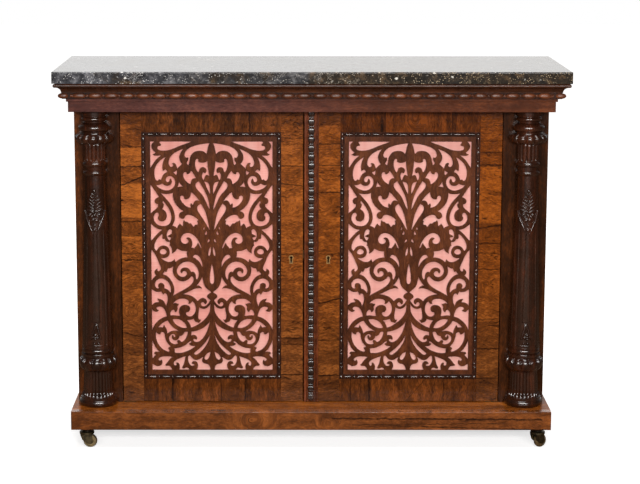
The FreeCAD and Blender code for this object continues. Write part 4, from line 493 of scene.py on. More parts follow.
class Shells:
    """Collects closed shells into one mesh."""

    def __init__(self):
        self.v, self.f = [], []

    def turned(self, start, along, up, profile, n=24, wide=1.0, deep=1.0, square=1.0):
        """A turned piece: profile is (distance along, radius) from end to end; both ends close on the axis.
        wide scales across, deep scales along up; square below 1 flattens the section's front, back and sides."""
        start, along, up = np.array(start, float), np.array(along, float), np.array(up, float)
        side = np.cross(along, up)
        base = len(self.v)
        prof = list(profile)
        th = np.linspace(0, 2 * math.pi, n, endpoint=False)
        c, s = np.cos(th), np.sin(th)
        c = np.sign(c) * np.abs(c) ** square * deep
        s = np.sign(s) * np.abs(s) ** square * wide
        for d, r in prof:
            centre = start + along * d
            ring = centre + np.outer(c * r, up) + np.outer(s * r, side)
            self.v.extend(map(tuple, ring))
        self.f += grid_faces(len(prof), n, base)
        a = len(self.v)
        self.v.append(tuple(start + along * prof[0][0]))
        self.v.append(tuple(start + along * prof[-1][0]))
        lastrow = base + (len(prof) - 1) * n
        for j in range(n):
            k = (j + 1) % n
            self.f.append((a, base + k, base + j))
            self.f.append((a + 1, lastrow + j, lastrow + k))

    def box(self, lo, hi):
        b = len(self.v)
        (x0, y0, z0), (x1, y1, z1) = lo, hi
        self.v += [(x0, y0, z0), (x1, y0, z0), (x1, y1, z0), (x0, y1, z0), (x0, y0, z1), (x1, y0, z1), (x1, y1, z1), (x0, y1, z1)]
        self.f += [(b, b + 3, b + 2, b + 1), (b + 4, b + 5, b + 6, b + 7), (b, b + 1, b + 5, b + 4), (b + 1, b + 2, b + 6, b + 5),
                   (b + 2, b + 3, b + 7, b + 6), (b + 3, b, b + 4, b + 7)]

    def frame_run(self, x0, x1, z0, z1, profile):
        """A mitred frame: profile is a closed loop of (inset from the opening's edge, y)."""
        b = len(self.v)
        n = len(profile)
        for u, y in profile:
            self.v += [(x0 + u, y, z0 + u), (x1 - u, y, z0 + u), (x1 - u, y, z1 - u), (x0 + u, y, z1 - u)]
        for i in range(n):
            k = (i + 1) % n
            for c in range(4):
                d = (c + 1) % 4
                self.f.append((b + i * 4 + c, b + i * 4 + d, b + k * 4 + d, b + k * 4 + c))

    def prism(self, loop, axis, p0, p1):
        """A closed loop of 2-D points drawn out along axis from p0 to p1. For axis 2 the loop is (x, y),
        for axis 0 it is (y, z) and for axis 1 it is (x, z)."""
        b = len(self.v)
        n = len(loop)
        for p in (p0, p1):
            for u, w in loop:
                self.v.append({0: (p, u, w), 1: (u, p, w), 2: (u, w, p)}[axis])
        for i in range(n):
            k = (i + 1) % n
            self.f.append((b + i, b + k, b + n + k, b + n + i))
        self.f.append(tuple(b + i for i in reversed(range(n))))
        self.f.append(tuple(b + n + i for i in range(n)))

    def made(self, name, mat, body, smooth=True, sharp=35):
        o = new_obj(name, self.v, self.f, mat, body, smooth, sharp)
        fix_normals(o)
        return o


def fix_normals(o):
    import bmesh

    bm = bmesh.new()
    bm.from_mesh(o.data)
    bmesh.ops.recalc_face_normals(bm, faces=bm.faces)
    bm.to_mesh(o.data)
    bm.free()


def lens(length, r, n=12, tip=0.0, power=2.0):
    """Profile of a long bead of that length and radius, about its middle."""
    out = []
    for i in range(n + 1):
        a = math.pi * i / n
        s = -math.cos(a)
        out.append((s * length / 2, max(tip, r * (max(0.0, 1 - abs(s) ** power)) ** 0.5)))
    return out


def shifted(profile, d):
    return [(a + d, r) for a, r in profile]


# ------------------------------------------------------------------ cornice beads
def cornice_beads():
    z = 0.8695
    front = Shells()
    first, last, count = -0.5855, 0.5855, 32
    pitch = (last - first) / (count - 1)
    y = -0.1880
    reel = [(-0.0030, 0.0), (-0.0029, 0.0026), (-0.0023, 0.0038), (-0.0010, 0.0042), (-0.0004, 0.0032), (0.0004, 0.0032), (0.0010, 0.0042), (0.0023, 0.0038), (0.0029, 0.0026), (0.0030, 0.0)]
    for i in range(count):
        x = first + pitch * i
        ends = i in (0, count - 1)
        front.turned((x, y, z), (1, 0, 0), (0, 0, 1), lens(0.0250 if ends else 0.0326, 0.0066 if ends else 0.0070, 14, power=2.3), 20)
        if i < count - 1:
            mid = x + pitch / 2 + (0.0012 if i == 0 else -0.0012 if i == count - 2 else 0.0)
            front.turned((mid, y, z), (1, 0, 0), (0, 0, 1), reel, 18)
    # side returns
    for sx in (-1, 1):
        x = sx * 0.5880
        y0, y1, m = -0.1500, 0.1860, 10
        p = (y1 - y0) / (m - 1)
        for i in range(m):
            yy = y0 + p * i
            front.turned((x, yy, z), (0, 1, 0), (0, 0, 1), lens(0.0326, 0.0070, 14, power=2.3), 20)
            if i:
                front.turned((x, yy - p / 2, z), (0, 1, 0), (0, 0, 1), reel, 18)
        front.turned((x, y0 - 0.0190, z), (0, 1, 0), (0, 0, 1), reel, 18)
    o = front.made("cornice_beads", MAT["cbead"], "carcase")
    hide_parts("cornice_bead_strips")
    back = Shells()
    back.prism([(-0.1860, z - 0.0074), (-0.1860, z + 0.0074), (-0.1882, z + 0.0074), (-0.1882, z + 0.0062), (-0.1872, z + 0.0056), (-0.1872, z - 0.0056), (-0.1882, z - 0.0062), (-0.1882, z - 0.0074)], 0, -0.5882, 0.5882)
    for sx in (-1, 1):
        loop = [(sx * 0.5860, z - 0.0074), (sx * 0.5860, z + 0.0074), (sx * 0.5882, z + 0.0074), (sx * 0.5882, z + 0.0062), (sx * 0.5872, z + 0.0056), (sx * 0.5872, z - 0.0056), (sx * 0.5882, z - 0.0062), (sx * 0.5882, z - 0.0074)]
        back.prism(loop, 1, -0.1882, 0.2050)
    back.made("cornice_bead_back", MAT["bead_edge"], "carcase", smooth=False)


cornice_beads()


# ------------------------------------------------------------------ panel beads
def panel_bead(side, xc):
    body = side + "_door"
    x0, x1, z0, z1 = xc - 0.169, xc + 0.169, 0.1584, 0.7704
    s = Shells()
    s.frame_run(x0, x1, z0, z1, [(0.0, -0.0841), (0.0, -0.0894), (0.0003, -0.0899), (0.0009, -0.0899), (0.0012, -0.0880), (0.0088, -0.0880), (0.0091, -0.0897), (0.0097, -0.0897), (0.0100, -0.0893), (0.0100, -0.0841)])
    o = s.made(side + "_panel_bead_fillets", MAT["bead_edge"], body, smooth=False)
    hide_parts(side + "_door_panel_bead")
    b = Shells()
    y = -0.0884
    reel = lens(0.0078, 0.0041, 10, power=2.2)
    for horizontal, n in ((True, 10), (False, 18)):
        lo, hi = (x0 + 0.005, x1 - 0.005) if horizontal else (z0 + 0.005, z1 - 0.005)
        pitch = (hi - lo) / n
        for line in (0, 1):
            for i in range(n):
                c = lo + pitch * (i + 0.5)
                if horizontal:
                    at = lambda d: (d, y, (z0 + 0.005, z1 - 0.005)[line])
                    ax = (1, 0, 0)
                    up = (0, 0, 1)
                else:
                    at = lambda d: ((x0 + 0.005, x1 - 0.005)[line], y, d)
                    ax = (0, 0, 1)
                    up = (1, 0, 0)
                b.turned(at(c), ax, up, lens(pitch - 0.0088, 0.0033, 12, power=3.2), 14)
                if i:
                    b.turned(at(lo + pitch * i), ax, up, reel, 14)
    for x in (x0 + 0.005, x1 - 0.005):
        for z in (z0 + 0.005, z1 - 0.005):
            b.turned((x, y, z), (0, -1, 0), (0, 0, 1), [(-0.001, 0.0), (-0.001, 0.0042), (0.0010, 0.0044), (0.0022, 0.0040), (0.0032, 0.0026), (0.0036, 0.0)], 16)
    b.made(side + "_panel_beads", MAT["bead"], body)


panel_bead("left", -0.242)
panel_bead("right", 0.239)


# ------------------------------------------------------------------ meeting astragal
def astragal():
    z0, z1 = 0.1015, 0.8275
    s = Shells()
    flat = [(-0.0170, -0.0892), (-0.0170, -0.0926), (-0.0162, -0.0932), (-0.0114, -0.0932), (-0.0104, -0.0916), (-0.0096, -0.0932), (-0.0086, -0.0932),
            (-0.0080, -0.0905), (0.0080, -0.0905), (0.0086, -0.0932), (0.0106, -0.0932), (0.0114, -0.0914), (0.0122, -0.0932), (0.0140, -0.0932), (0.0148, -0.0916), (0.0156, -0.0932), (0.0172, -0.0932), (0.0180, -0.0924), (0.0180, -0.0892)]
    s.prism(flat, 2, z0, z1)
    o = s.made("meeting_astragal_strip", MAT["fillet"], "right_door", smooth=False)
    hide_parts("meeting_astragal")
    b = Shells()
    n = 34
    pitch = (z1 - z0) / n
    prof = []
    for i in range(n):
        c = z0 + pitch * (i + 0.5)
        barrel = [(-0.0078, 0.0), (-0.0077, 0.0050), (-0.0072, 0.0060), (-0.0060, 0.0068), (-0.0036, 0.0074), (0.0, 0.0076), (0.0036, 0.0074), (0.0060, 0.0068), (0.0072, 0.0060), (0.0077, 0.0050), (0.0078, 0.0)]
        b.turned((0.0, -0.0912, c), (0, 0, 1), (0, -1, 0), barrel, 40, wide=1.0, deep=0.62, square=0.36)
        if i:
            ring = [(-0.0022, 0.0), (-0.0022, 0.0052), (-0.0014, 0.0064), (0.0, 0.0070), (0.0014, 0.0064), (0.0022, 0.0052), (0.0022, 0.0)]
            b.turned((0.0, -0.0912, c - pitch / 2), (0, 0, 1), (0, -1, 0), ring, 40, wide=1.0, deep=0.62, square=0.36)
    b.made("meeting_astragal_beads", MAT["astragal_bead"], "right_door")


astragal()


# ------------------------------------------------------------------ columns
def arc3(p0, pm, p1, n=14):
    (x0, y0), (x1, y1), (x2, y2) = p0, pm, p1
    d = 2 * (x0 * (y1 - y2) + x1 * (y2 - y0) + x2 * (y0 - y1))
    ux = ((x0**2 + y0**2) * (y1 - y2) + (x1**2 + y1**2) * (y2 - y0) + (x2**2 + y2**2) * (y0 - y1)) / d
    uy = ((x0**2 + y0**2) * (x2 - x1) + (x1**2 + y1**2) * (x0 - x2) + (x2**2 + y2**2) * (x1 - x0)) / d
    r = math.hypot(x0 - ux, y0 - uy)
    a0, am, a1 = (math.atan2(y - uy, x - ux) for x, y in (p0, pm, p1))
    ccw = (am - a0) % (2 * math.pi) < (a1 - a0) % (2 * math.pi)
    sweep = (a1 - a0) % (2 * math.pi) if ccw else -((a0 - a1) % (2 * math.pi))
    return [(ux + r * math.cos(a0 + sweep * i / n), uy + r * math.sin(a0 + sweep * i / n)) for i in range(1, n + 1)]


def column_profile():
    steps = [(43, 0), ("arc", 47.3, 8.7), (43, 17.5), (43, 21.5), ("arc", 37.8, 28), (36.6, 40.5), (34, 86.5), ("arc", 46.6, 103.5), (39, 122.5), (40, 124), (40, 129.5),
             (36, 129.5), (36, 131.5), ("arc", 38.5, 137.5), (36.5, 143.5), (38.5, 143.5), (38.5, 147.5), (38, 147.5), (26, 568.5), (26, 569.5), ("arc", 28.5, 576), (26, 582.5),
             (26, 590.5), ("arc", 28.7, 597.5), (26, 604.5), (25, 604.5), (25, 647.5), (34, 648.5), ("arc", 46.6, 659.5), (34, 671.5), (30, 671.5), (30, 676.5), (34, 676.5),
             ("arc", 38.7, 684.5), (37.5, 690), ("arc", 32, 694.4), (24, 697.3), (24, 701.5), (26.5, 701.5), ("arc", 32, 706.5), (26.5, 711.5), (26.5, 716.5), (33, 716.5), (33, 730)]
    pts = [steps[0]]
    i = 1
    while i < len(steps):
        if steps[i][0] == "arc":
            pts += arc3(pts[-1], steps[i][1:], steps[i + 1])
            i += 2
        else:
            pts.append(steps[i])
            i += 1
    dense = [pts[0]]
    for (r0, h0), (r1, h1) in zip(pts, pts[1:]):
        long = math.hypot(r1 - r0, h1 - h0)
        fine = 0.75 if (150 < h0 < 230 or 405 < h0 < 560) or h1 - h0 < 60 else 2.0
        if h0 == 147.5 and h1 > 500:  # the shaft: finer where it is carved
            hs = list(np.arange(147.5, 232, 0.8)) + list(np.arange(232, 405, 3.0)) + list(np.arange(405, 545, 0.75)) + list(np.arange(545, 568.6, 2.0))
            dense += [(38 + (26 - 38) * (h - 147.5) / 421.0, h) for h in hs[1:]] + [(26.0, 568.5)]
            continue
        n = max(1, int(math.ceil(long / 0.9)))
        dense += [(r0 + (r1 - r0) * k / n, h0 + (h1 - h0) * k / n) for k in range(1, n + 1)]
    return np.array(dense, float)


def sstep(x, a, b):
    t = np.clip((x - a) / (b - a), 0, 1)
    return t * t * (3 - 2 * t)


def reeds(theta, n, depth, fill=0.96):
    u = np.mod(theta * n / (2 * math.pi) + 0.5, 1.0) * 2 - 1
    return depth * (np.sqrt(np.clip(1 - fill * u * u, 0, 1)) - 1)


def leaflet(a, b, x, y, ang, length, width, high, vein=0.35):
    """Relief of one pointed leaf lobe from (x, y) leaning ang degrees from upright; a, b are the surface points."""
    t = math.radians(ang)
    dx, dy = math.sin(t), math.cos(t)
    u = ((a - x) * dx + (b - y) * dy) / length
    v = (a - x) * dy - (b - y) * dx
    half = width / 2 * np.sin(np.clip(u, 0, 1) ** 0.75 * math.pi) ** 0.8 + 1e-6
    inside = (u > 0) & (u < 1)
    k = np.clip(1 - (v / half) ** 2, 0, 1)
    rel = high * np.sqrt(k) * (0.55 + 0.45 * np.clip(u, 0, 1))
    rel -= vein * high * np.exp(-((v / (0.16 * width)) ** 2)) * (k > 0)
    return np.where(inside & (k > 0), np.maximum(rel, 0), 0)


def blob(a, b, x, y, r, high, squash=1.0):
    d2 = ((a - x) ** 2 + ((b - y) * squash) ** 2) / (r * r)
    return high * np.sqrt(np.clip(1 - d2, 0, 1))


def ridge(a, b, p0, p1, width, high):
    (x0, y0), (x1, y1) = p0, p1
    dx, dy = x1 - x0, y1 - y0
    ll = dx * dx + dy * dy
    t = np.clip(((a - x0) * dx + (b - y0) * dy) / ll, 0, 1)
    d2 = (a - x0 - t * dx) ** 2 + (b - y0 - t * dy) ** 2
    return high * np.sqrt(np.clip(1 - d2 / (width / 2) ** 2, 0, 1))


def column(name, xc, mirror):
    prof = column_profile()
    nth = 300
    # finer steps round the carved front than round the sides and back
    lin_t = np.linspace(-math.pi, math.pi, nth, endpoint=False)
    th = lin_t - 0.42 * np.sin(lin_t)
    R, H = prof[:, 0][:, None], prof[:, 1][:, None]
    T = th[None, :]
    rel = np.zeros((len(prof), nth))
    # reeded bell above the foot, each reed ending in a rounded toe
    w = sstep(H, 21.5, 29.0) * sstep(-H, -86.6, -84.0)
    toe = np.exp(-(((H - 28.5) / 3.6) ** 2))
    rr = reeds(T, 24, 3.2)
    rel += w * rr
    rel += toe * (1.6 + rr * 2.1) * sstep(H, 21.6, 25.0)
    # gadrooned ring: twelve leaves and darts between their tops
    g = sstep(H, 86.5, 91.0) * sstep(-H, -122.4, -117.0)
    lobe = reeds(T, 12, 5.8, 0.985) * (0.45 + 0.55 * sstep(H, 92, 104))
    dart_u = np.mod(T * 12 / (2 * math.pi), 1.0) * 2 - 1
    dart = 5.0 * np.sqrt(np.clip(1 - (dart_u / 0.36) ** 2, 0, 1)) * sstep(H, 99, 110) * sstep(-H, -122.0, -116.5)
    rel += g * lobe + dart
    # upper rings stay plain; fluted drum of the capital
    d = sstep(H, 604.8, 608.5) * sstep(-H, -647.4, -643.5)
    rel += np.where((H > 604.5) & (H < 647.5), d * (1.3 + reeds(T, 13, 4.6, 0.99)), 0)
    # the two rings under it stand a little proud
    rel += np.where((H > 569.5) & (H < 582.5), 1.6 * np.sin(np.clip((H - 569.5) / 13.0, 0, 1) * math.pi), 0)
    rel += np.where((H > 590.5) & (H < 604.5), 1.6 * np.sin(np.clip((H - 590.5) / 14.0, 0, 1) * math.pi), 0)
    # gadroon of the capital
    gg = sstep(H, 648.4, 651.0) * sstep(-H, -671.4, -667.5)
    rel += gg * reeds(T, 12, 6.6, 0.97)
    # shaft: broad front face, ribs beside it and the side faces
    on = (H > 147.4) & (H < 568.6)
    a = R * T
    b = H + 0 * T
    facet = math.radians(40)
    end = sstep(H, 150.0, 156.0) * sstep(-H, -470.0, -400.0)
    for edge in (facet, math.radians(64), math.radians(104)):
        groove = np.exp(-(((np.abs(T) - edge) * R / 1.15) ** 2))
        rel -= np.where(on, 1.5 * end * groove, 0)
    flat = np.where(np.abs(T) < facet, (np.cos(facet) / np.maximum(np.cos(T), 0.3) - 1) * R * 0.45 * (np.abs(T) < facet), 0)
    flat = np.where(np.abs(T) < facet, flat + R * (1 - np.cos(facet)) * 0.45 * 0.75, 0)
    # a straight lip that closes the foot of the front face
    foot = ridge(a, b, (-22.0, 153.0), (22.0, 153.0), 3.0, 0.35)
    rel += np.where(on, foot, 0)
    # the stem between cup and bud
    stem = np.maximum(ridge(a, b, (-10.0, 212.0), (-4.4, 432.0), 2.6, 1.6), ridge(a, b, (10.0, 212.0), (4.4, 432.0), 2.6, 1.6))
    sink = np.where((np.abs(a) < 10.0 - (b - 212.0) * 0.0255 - 1.2) & (b > 212) & (b < 432), -1.0, 0.0)
    carve = stem
    # bell flower at the foot of the stem: two bright arms over small lobes and a pair of berries
    arch = np.maximum(ridge(a, b, (-1.2, 205.0), (-12.0, 171.0), 5.4, 6.0), ridge(a, b, (2.0, 205.0), (11.0, 172.0), 5.4, 6.0)) * (0.28 + 0.72 * np.clip((206.0 - b) / 34.0, 0, 1))
    flower = np.maximum.reduce([arch, ridge(a, b, (0.0, 208.0), (0.0, 188.0), 3.2, 1.6),
                                blob(a, b, -8.5, 175.0, 3.4, 2.8), blob(a, b, 7.0, 178.0, 3.4, 2.8), blob(a, b, -2.8, 180.0, 3.2, 2.4), blob(a, b, 3.4, 174.0, 3.4, 2.6), blob(a, b, -2.6, 171.0, 3.0, 2.6),
                                blob(a, b, -4.4, 159.8, 3.6, 3.4, 1.3), blob(a, b, 6.0, 159.8, 3.6, 3.4, 1.3)])
    carve = np.maximum(carve, flower)
    # cup under the leaf: two bright arms, small volutes and buds
    arms = np.maximum(ridge(a, b, (-26.5, 484.0), (-6.2, 437.0), 4.4, 4.2), ridge(a, b, (26.5, 484.0), (6.2, 437.0), 4.4, 4.2))
    arms = np.maximum(arms, np.maximum(ridge(a, b, (-6.2, 438.0), (-4.7, 424.0), 3.0, 2.2), ridge(a, b, (6.2, 438.0), (4.7, 424.0), 3.0, 2.2)))
    cup = np.maximum.reduce([arms, blob(a, b, -12.6, 476.0, 4.2, 2.9), blob(a, b, 12.6, 476.0, 4.2, 2.9), blob(a, b, 0, 474.5, 4.4, 3.0),
                             blob(a, b, -4.2, 463.0, 3.8, 2.8, 0.8), blob(a, b, 5.0, 462.0, 3.8, 2.8, 0.8), blob(a, b, 0, 450.5, 3.2, 2.3), blob(a, b, 0, 438.5, 3.4, 2.8, 0.8),
                             blob(a, b, -7.6, 471, 3.0, 1.8), blob(a, b, 7.6, 471, 3.0, 1.8)])
    # the leaf itself: paired lobes along a middle rib, ending in a curled tip
    lobes = [ridge(a, b, (0, 480), (0, 528), 3.2, 3.0), blob(a, b, 0, 534.0, 3.9, 4.2, 0.8)]
    for up_b, lean, long, across in ((481, 66, 23, 5.4), (488, 58, 22, 5.6), (495.5, 50, 20, 5.6), (503, 43, 17.5, 5.2), (510.5, 35, 15, 4.8), (518, 26, 12, 4.2)):
        lobes += [leaflet(a, b, -1.0, up_b, -lean, long, across, 3.9, 0.15), leaflet(a, b, 1.0, up_b, lean, long, across, 3.9, 0.15)]
    leaf = np.maximum.reduce(lobes)
    rel += np.where(on, np.maximum.reduce([carve, cup, leaf]) + sink * (np.maximum(carve, cup) < 0.05), 0)
    r = (R + rel) / 1000.0
    x = xc + r * np.sin(T) * mirror
    y = -0.101 - r * np.cos(T)
    y = np.minimum(y, -0.0891)
    z = 0.0995 + H / 1000.0 + 0 * T
    P = np.stack([x, y, z], axis=-1)
    rows = len(prof)
    verts = P.reshape(-1, 3)
    i = np.arange(rows - 1)[:, None] * nth
    j = np.arange(nth)[None, :]
    k = (j + 1) % nth
    quads = np.stack([i + j, i + k, i + nth + k, i + nth + j], axis=-1).reshape(-1, 4)
    if mirror < 0:
        quads = quads[:, ::-1]
    faces = [tuple(q) for q in quads.tolist()]
    caps = [tuple(range(nth)), tuple(range((rows - 1) * nth, rows * nth))]
    faces += [tuple(reversed(caps[0])), caps[1]] if mirror > 0 else [caps[0], tuple(reversed(caps[1]))]
    o = new_obj(name + "_carved", verts.tolist(), faces, MAT["column"], "carcase", True, 48)
    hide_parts(name)
    return o


column("column_left", -0.522, 1)
column("column_right", 0.522, -1)


# ------------------------------------------------------------------ silk panels
def silk_panel(side, xc):
    w, l = 0.336, 0.610
    nx, nz = 85, 153
    X = np.linspace(-w / 2, w / 2, nx)
    Z = np.linspace(0.4644 - l / 2, 0.4644 + l / 2, nz)
    gx, gz = np.meshgrid(X, Z)
    ph = 0.7 if side == "left" else 2.1
    edge = np.minimum(1, np.minimum((w / 2 - np.abs(gx)) / 0.02, (l / 2 - np.abs(gz - 0.4644)) / 0.02))
    y = -0.07835 + 0.00022 * edge * (np.sin(gx * 95 + ph + 1.3 * np.sin(gz * 7)) + 0.6 * np.sin(gx * 41 + gz * 13 + ph))
    verts = np.stack([gx + xc, y, gz], axis=-1).reshape(-1, 3)
    faces = [(i * nx + j, i * nx + j + 1, (i + 1) * nx + j + 1, (i + 1) * nx + j) for i in range(nz - 1) for j in range(nx - 1)]
    o = new_obj(side + "_silk_panel", verts.tolist(), faces, MAT["silk"], side + "_door")
    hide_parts(side + "_door_silk")


silk_panel("left", -0.242)
silk_panel("right", 0.239)

# ------------------------------------------------------------------ materials on the CAD nodes
USE = {
    "marble_top": "marble", "cornice_front": "cornice", "cornice_returns": "cornice_y", "frieze_front": "frieze", "frieze_ends": "frieze_y",
    "left_door_hinge_stile": "stile_lh", "left_door_meeting_stile": "stile_lm", "right_door_meeting_stile": "stile_rm", "right_door_hinge_stile": "stile_rh",
    "left_door_top_rail": "rail_lt", "right_door_top_rail": "rail_rt", "left_door_bottom_rail": "rail_lb", "right_door_bottom_rail": "rail_rb",
    "left_door_fret": "fret", "right_door_fret": "fret", "pilaster_left": "pilaster", "pilaster_right": "pilaster", "side_left": "side", "side_right": "side",
    "plinth_front": "plinth", "plinth_sides": "plinth_y", "plinth_back": "back", "bottom_board": "board", "back_boards": "back", "back_muntin": "back", "top_back_rail": "back",
    "carcase_top": "pine_xh", "shelf": "pine_xh", "shelf_bearers": "pine_xh", "castor_blocks": "pine_xh", "left_door_backing": "pine_z", "right_door_backing": "pine_z",
    "left_door_keyhole_rim": "brass", "right_door_keyhole_rim": "brass", "left_door_pivot_sockets": "dark_brass", "right_door_pivot_sockets": "dark_brass", "frame_pivot_pins": "dark_brass",
    "flush_bolt_plates": "brass", "upper_flush_bolt": "brass", "lower_flush_bolt": "brass", "lock_bolt": "steel", "lock_case": "steel", "castor_plates": "iron",
}
for name, o in nodes.items():
    key = USE.get(name) or ("castor_bronze" if name.startswith("castor_fork") else "castor_brass" if name.startswith("castor_wheel") else None)
    if key is None:
        key = "cornice"
    for place in o.material_slots:
        place.material = MAT[key]


def smooth_group():
    """Modifier nodes that drop the stored normals and shade smooth; a CAD node's own mesh stays as it is."""
    g = bpy.data.node_groups.new("smooth_shading", "GeometryNodeTree")
    g.interface.new_socket("Geometry", in_out="INPUT", socket_type="NodeSocketGeometry")
    g.interface.new_socket("Geometry", in_out="OUTPUT", socket_type="NodeSocketGeometry")
    start, end = g.nodes.new("NodeGroupInput"), g.nodes.new("NodeGroupOutput")
    drop = g.nodes.new("GeometryNodeRemoveAttribute")
    drop.inputs["Name"].default_value = "custom_normal"
    shade = g.nodes.new("GeometryNodeSetShadeSmooth")
    g.links.new(start.outputs[0], drop.inputs[0])
    g.links.new(drop.outputs[0], shade.inputs[0])
    g.links.new(shade.outputs[0], end.inputs[0])
    return g


SMOOTH = smooth_group()


def soften(name, width, segments=3):
    """Rounds a CAD node's arrises a little, with modifiers only."""
    o = nodes[name]
    o.modifiers.new("smooth", "NODES").node_group = SMOOTH
    weld = o.modifiers.new("weld", "WELD")
    weld.merge_threshold = 0.00002
    bev = o.modifiers.new("arris", "BEVEL")
    bev.width = width
    bev.segments = segments
    bev.limit_method = "ANGLE"
    bev.angle_limit = math.radians(40)
    bev.harden_normals = True


for name, width in (("plinth_front", 0.0004), ("plinth_sides", 0.0008), ("frieze_front", 0.0008), ("frieze_ends", 0.0008), ("pilaster_left", 0.0008), ("pilaster_right", 0.0008),
                    ("left_door_top_rail", 0.0005), ("right_door_top_rail", 0.0005), ("left_door_bottom_rail", 0.0005), ("right_door_bottom_rail", 0.0005),
                    ("left_door_hinge_stile", 0.0007), ("side_left", 0.001), ("side_right", 0.001), ("shelf", 0.001), ("plinth_back", 0.001),
                    ("right_door_hinge_stile", 0.0007), ("back_boards", 0.001), ("back_muntin", 0.001), ("top_back_rail", 0.001)):
    soften(name, width)

# ------------------------------------------------------------------ floor, light, camera
me = bpy.data.meshes.new("floor")
n = 24
xs = np.linspace(-14, 14, n)
me.from_pydata([(float(x), float(y), 0.0) for y in xs for x in xs], [], [(i * n + j, i * n + j + 1, (i + 1) * n + j + 1, (i + 1) * n + j) for i in range(n - 1) for j in range(n - 1)])
floor = bpy.data.objects.new("floor", me)
scene.collection.objects.link(floor)
fm = bpy.data.materials.new("floor_paper")
fm.use_nodes = True
nt = fm.node_tree
nt.nodes.clear()
fo = nt.nodes.new("ShaderNodeOutputMaterial")
path = nt.nodes.new("ShaderNodeLightPath")
glow = nt.nodes.new("ShaderNodeEmission")
glow.inputs["Color"].default_value = (1.0, 1.0, 1.0, 1.0)
where = nt.nodes.new("ShaderNodeTexCoord")
xyz = nt.nodes.new("ShaderNodeSeparateXYZ")
nt.links.new(where.outputs["Object"], xyz.inputs[0])


def floor_math(op, a, b=None):
    n = nt.nodes.new("ShaderNodeMath")
    n.operation = op
    for sock, v in zip(n.inputs, (a, b)):
        if isinstance(v, bpy.types.NodeSocket):
            nt.links.new(v, sock)
        elif v is not None:
            sock.default_value = v
    return n.outputs[0]


# Painted shadow: for camera rays the floor glows white, and the glow dims to 0.67 near the cabinet's footprint, a
# painted shadow under it; other rays see a dull brown diffuse floor.
dx = floor_math("MAXIMUM", floor_math("SUBTRACT", floor_math("ABSOLUTE", xyz.outputs[0]), 0.56), 0.0)
dy = floor_math("MAXIMUM", floor_math("SUBTRACT", floor_math("ABSOLUTE", xyz.outputs[1]), 0.16), 0.0)
away = floor_math("SQRT", floor_math("ADD", floor_math("MULTIPLY", dx, dx), floor_math("MULTIPLY", dy, dy)))
painted_floor_shadow = nt.nodes.new("ShaderNodeMapRange")
painted_floor_shadow.interpolation_type = "SMOOTHSTEP"
for sock, v in zip(painted_floor_shadow.inputs, (None, 0.0, 0.42, 0.67, 1.0)):
    if v is not None:
        sock.default_value = v
nt.links.new(away, painted_floor_shadow.inputs[0])
nt.links.new(painted_floor_shadow.outputs[0], glow.inputs["Strength"])
pale = nt.nodes.new("ShaderNodeBsdfDiffuse")
pale.inputs["Color"].default_value = (0.76, 0.76, 0.76, 1.0)
plus = nt.nodes.new("ShaderNodeAddShader")
dull = nt.nodes.new("ShaderNodeBsdfDiffuse")
dull.inputs["Color"].default_value = (0.20, 0.13, 0.085, 1.0)
pick = nt.nodes.new("ShaderNodeMixShader")
nt.links.new(glow.outputs[0], plus.inputs[0])
nt.links.new(pale.outputs[0], plus.inputs[1])
nt.links.new(path.outputs["Is Camera Ray"], pick.inputs[0])
nt.links.new(dull.outputs[0], pick.inputs[1])
nt.links.new(plus.outputs[0], pick.inputs[2])
nt.links.new(pick.outputs[0], fo.inputs["Surface"])
me.materials.append(fm)

world = bpy.data.worlds.new("studio")
scene.world = world
world.use_nodes = True
wt = world.node_tree
wt.nodes.clear()
wo = wt.nodes.new("ShaderNodeOutputWorld")
tc = wt.nodes.new("ShaderNodeTexCoord")
sp = wt.nodes.new("ShaderNodeSeparateXYZ")
wt.links.new(tc.outputs["Generated"], sp.inputs[0])
back_ramp = wt.nodes.new("ShaderNodeValToRGB")
stops = ((0.20, 0.05), (0.60, 0.20), (0.82, 0.42), (0.95, 1.27))
while len(back_ramp.color_ramp.elements) < len(stops):
    back_ramp.color_ramp.elements.new(0.5)
for e, (pos, v) in zip(back_ramp.color_ramp.elements, stops):
    e.position = pos
    e.color = (v, v, v, 1.0)
wt.links.new(sp.outputs[1], back_ramp.inputs[0])
wlp = wt.nodes.new("ShaderNodeLightPath")
seen = wt.nodes.new("ShaderNodeBackground")
seen.inputs["Color"].default_value = (1, 1, 1, 1)
seen.inputs["Strength"].default_value = 1.0
lit = wt.nodes.new("ShaderNodeBackground")
lit.inputs["Color"].default_value = (1.0, 0.99, 0.98, 1)
wt.links.new(back_ramp.outputs[0], lit.inputs["Strength"])
warm_ramp = wt.nodes.new("ShaderNodeMapRange")
for s, v in zip(warm_ramp.inputs, (None, 0.0, 0.6, 0.0, 1.0)):
    if v is not None:
        s.default_value = v
wt.links.new(sp.outputs[1], warm_ramp.inputs[0])
room = wt.nodes.new("ShaderNodeValToRGB")
room.color_ramp.elements[0].color = (1.0, 0.74, 0.52, 1.0)
room.color_ramp.elements[1].color = (1.0, 0.99, 0.98, 1.0)
wt.links.new(warm_ramp.outputs[0], room.inputs[0])
wt.links.new(room.outputs[0], lit.inputs["Color"])
wmix = wt.nodes.new("ShaderNodeMixShader")
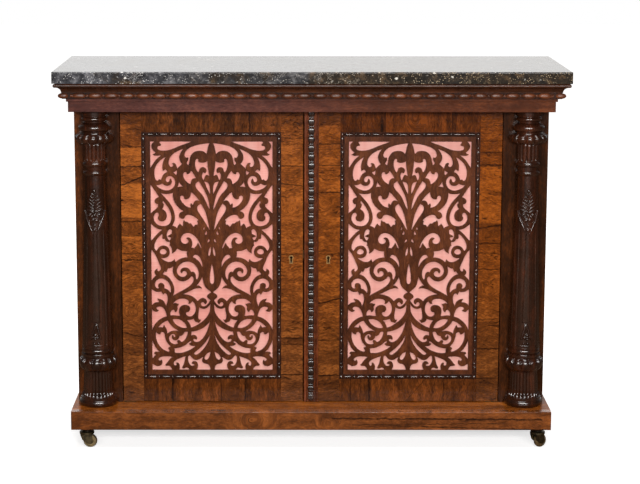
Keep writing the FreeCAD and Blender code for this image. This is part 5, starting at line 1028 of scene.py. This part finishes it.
wt.links.new(wlp.outputs["Is Camera Ray"], wmix.inputs[0])
wt.links.new(lit.outputs[0], wmix.inputs[1])
wt.links.new(seen.outputs[0], wmix.inputs[2])
wt.links.new(wmix.outputs[0], wo.inputs["Surface"])


def area(name, loc, target, sx, sy, power, colour=(1, 1, 1)):
    d = bpy.data.lights.new(name, "AREA")
    d.shape = "RECTANGLE"
    d.size, d.size_y = sx, sy
    d.energy = power
    d.color = colour
    o = bpy.data.objects.new(name, d)
    scene.collection.objects.link(o)
    o.location = loc
    o.rotation_mode = "QUATERNION"
    o.rotation_quaternion = (Vector(target) - Vector(loc)).to_track_quat("-Z", "Y")
    o.visible_camera = False
    return o


area("softbox", (0.10, -3.9, 1.50), (0.0, 0.0, 0.5), 3.2, 0.52, 168, (1.0, 0.985, 0.97))
area("ceiling", (0.0, -1.9, 3.1), (0.0, -0.1, 0.4), 2.0, 0.9, 40, (1.0, 0.99, 0.98))
area("back_fill", (0.0, 3.4, 3.0), (0.0, 0.1, 0.4), 2.6, 1.0, 60, (1.0, 0.99, 0.98))

cam = bpy.data.cameras.new("camera")
cam_o = bpy.data.objects.new("camera", cam)
scene.collection.objects.link(cam_o)
yaw, pitch, roll = 0.00017221, 0.16663669, 6.1763e-4
fwd = Vector((math.sin(yaw) * math.cos(pitch), math.cos(yaw) * math.cos(pitch), -math.sin(pitch)))
right = fwd.cross(Vector((0, 0, 1))).normalized()
up = right.cross(fwd)
c, s = math.cos(roll), math.sin(roll)
r2, u2 = right * c + up * s, up * c - right * s
m = Matrix((r2, u2, -fwd)).transposed().to_4x4()
m.translation = Vector((-0.057085, -4.624480, 1.359012))
cam_o.matrix_world = m
cam.sensor_fit = "HORIZONTAL"
cam.sensor_width = 36.0
cam.lens = 106.621
cam.shift_x = 0.05
cam.shift_y = -0.06
cam.clip_start, cam.clip_end = 0.05, 100.0
scene.camera = cam_o
scene.view_settings.view_transform = "Standard"
scene.view_settings.look = "None"
scene.view_settings.exposure = 0.0
scene.view_settings.gamma = 1.0
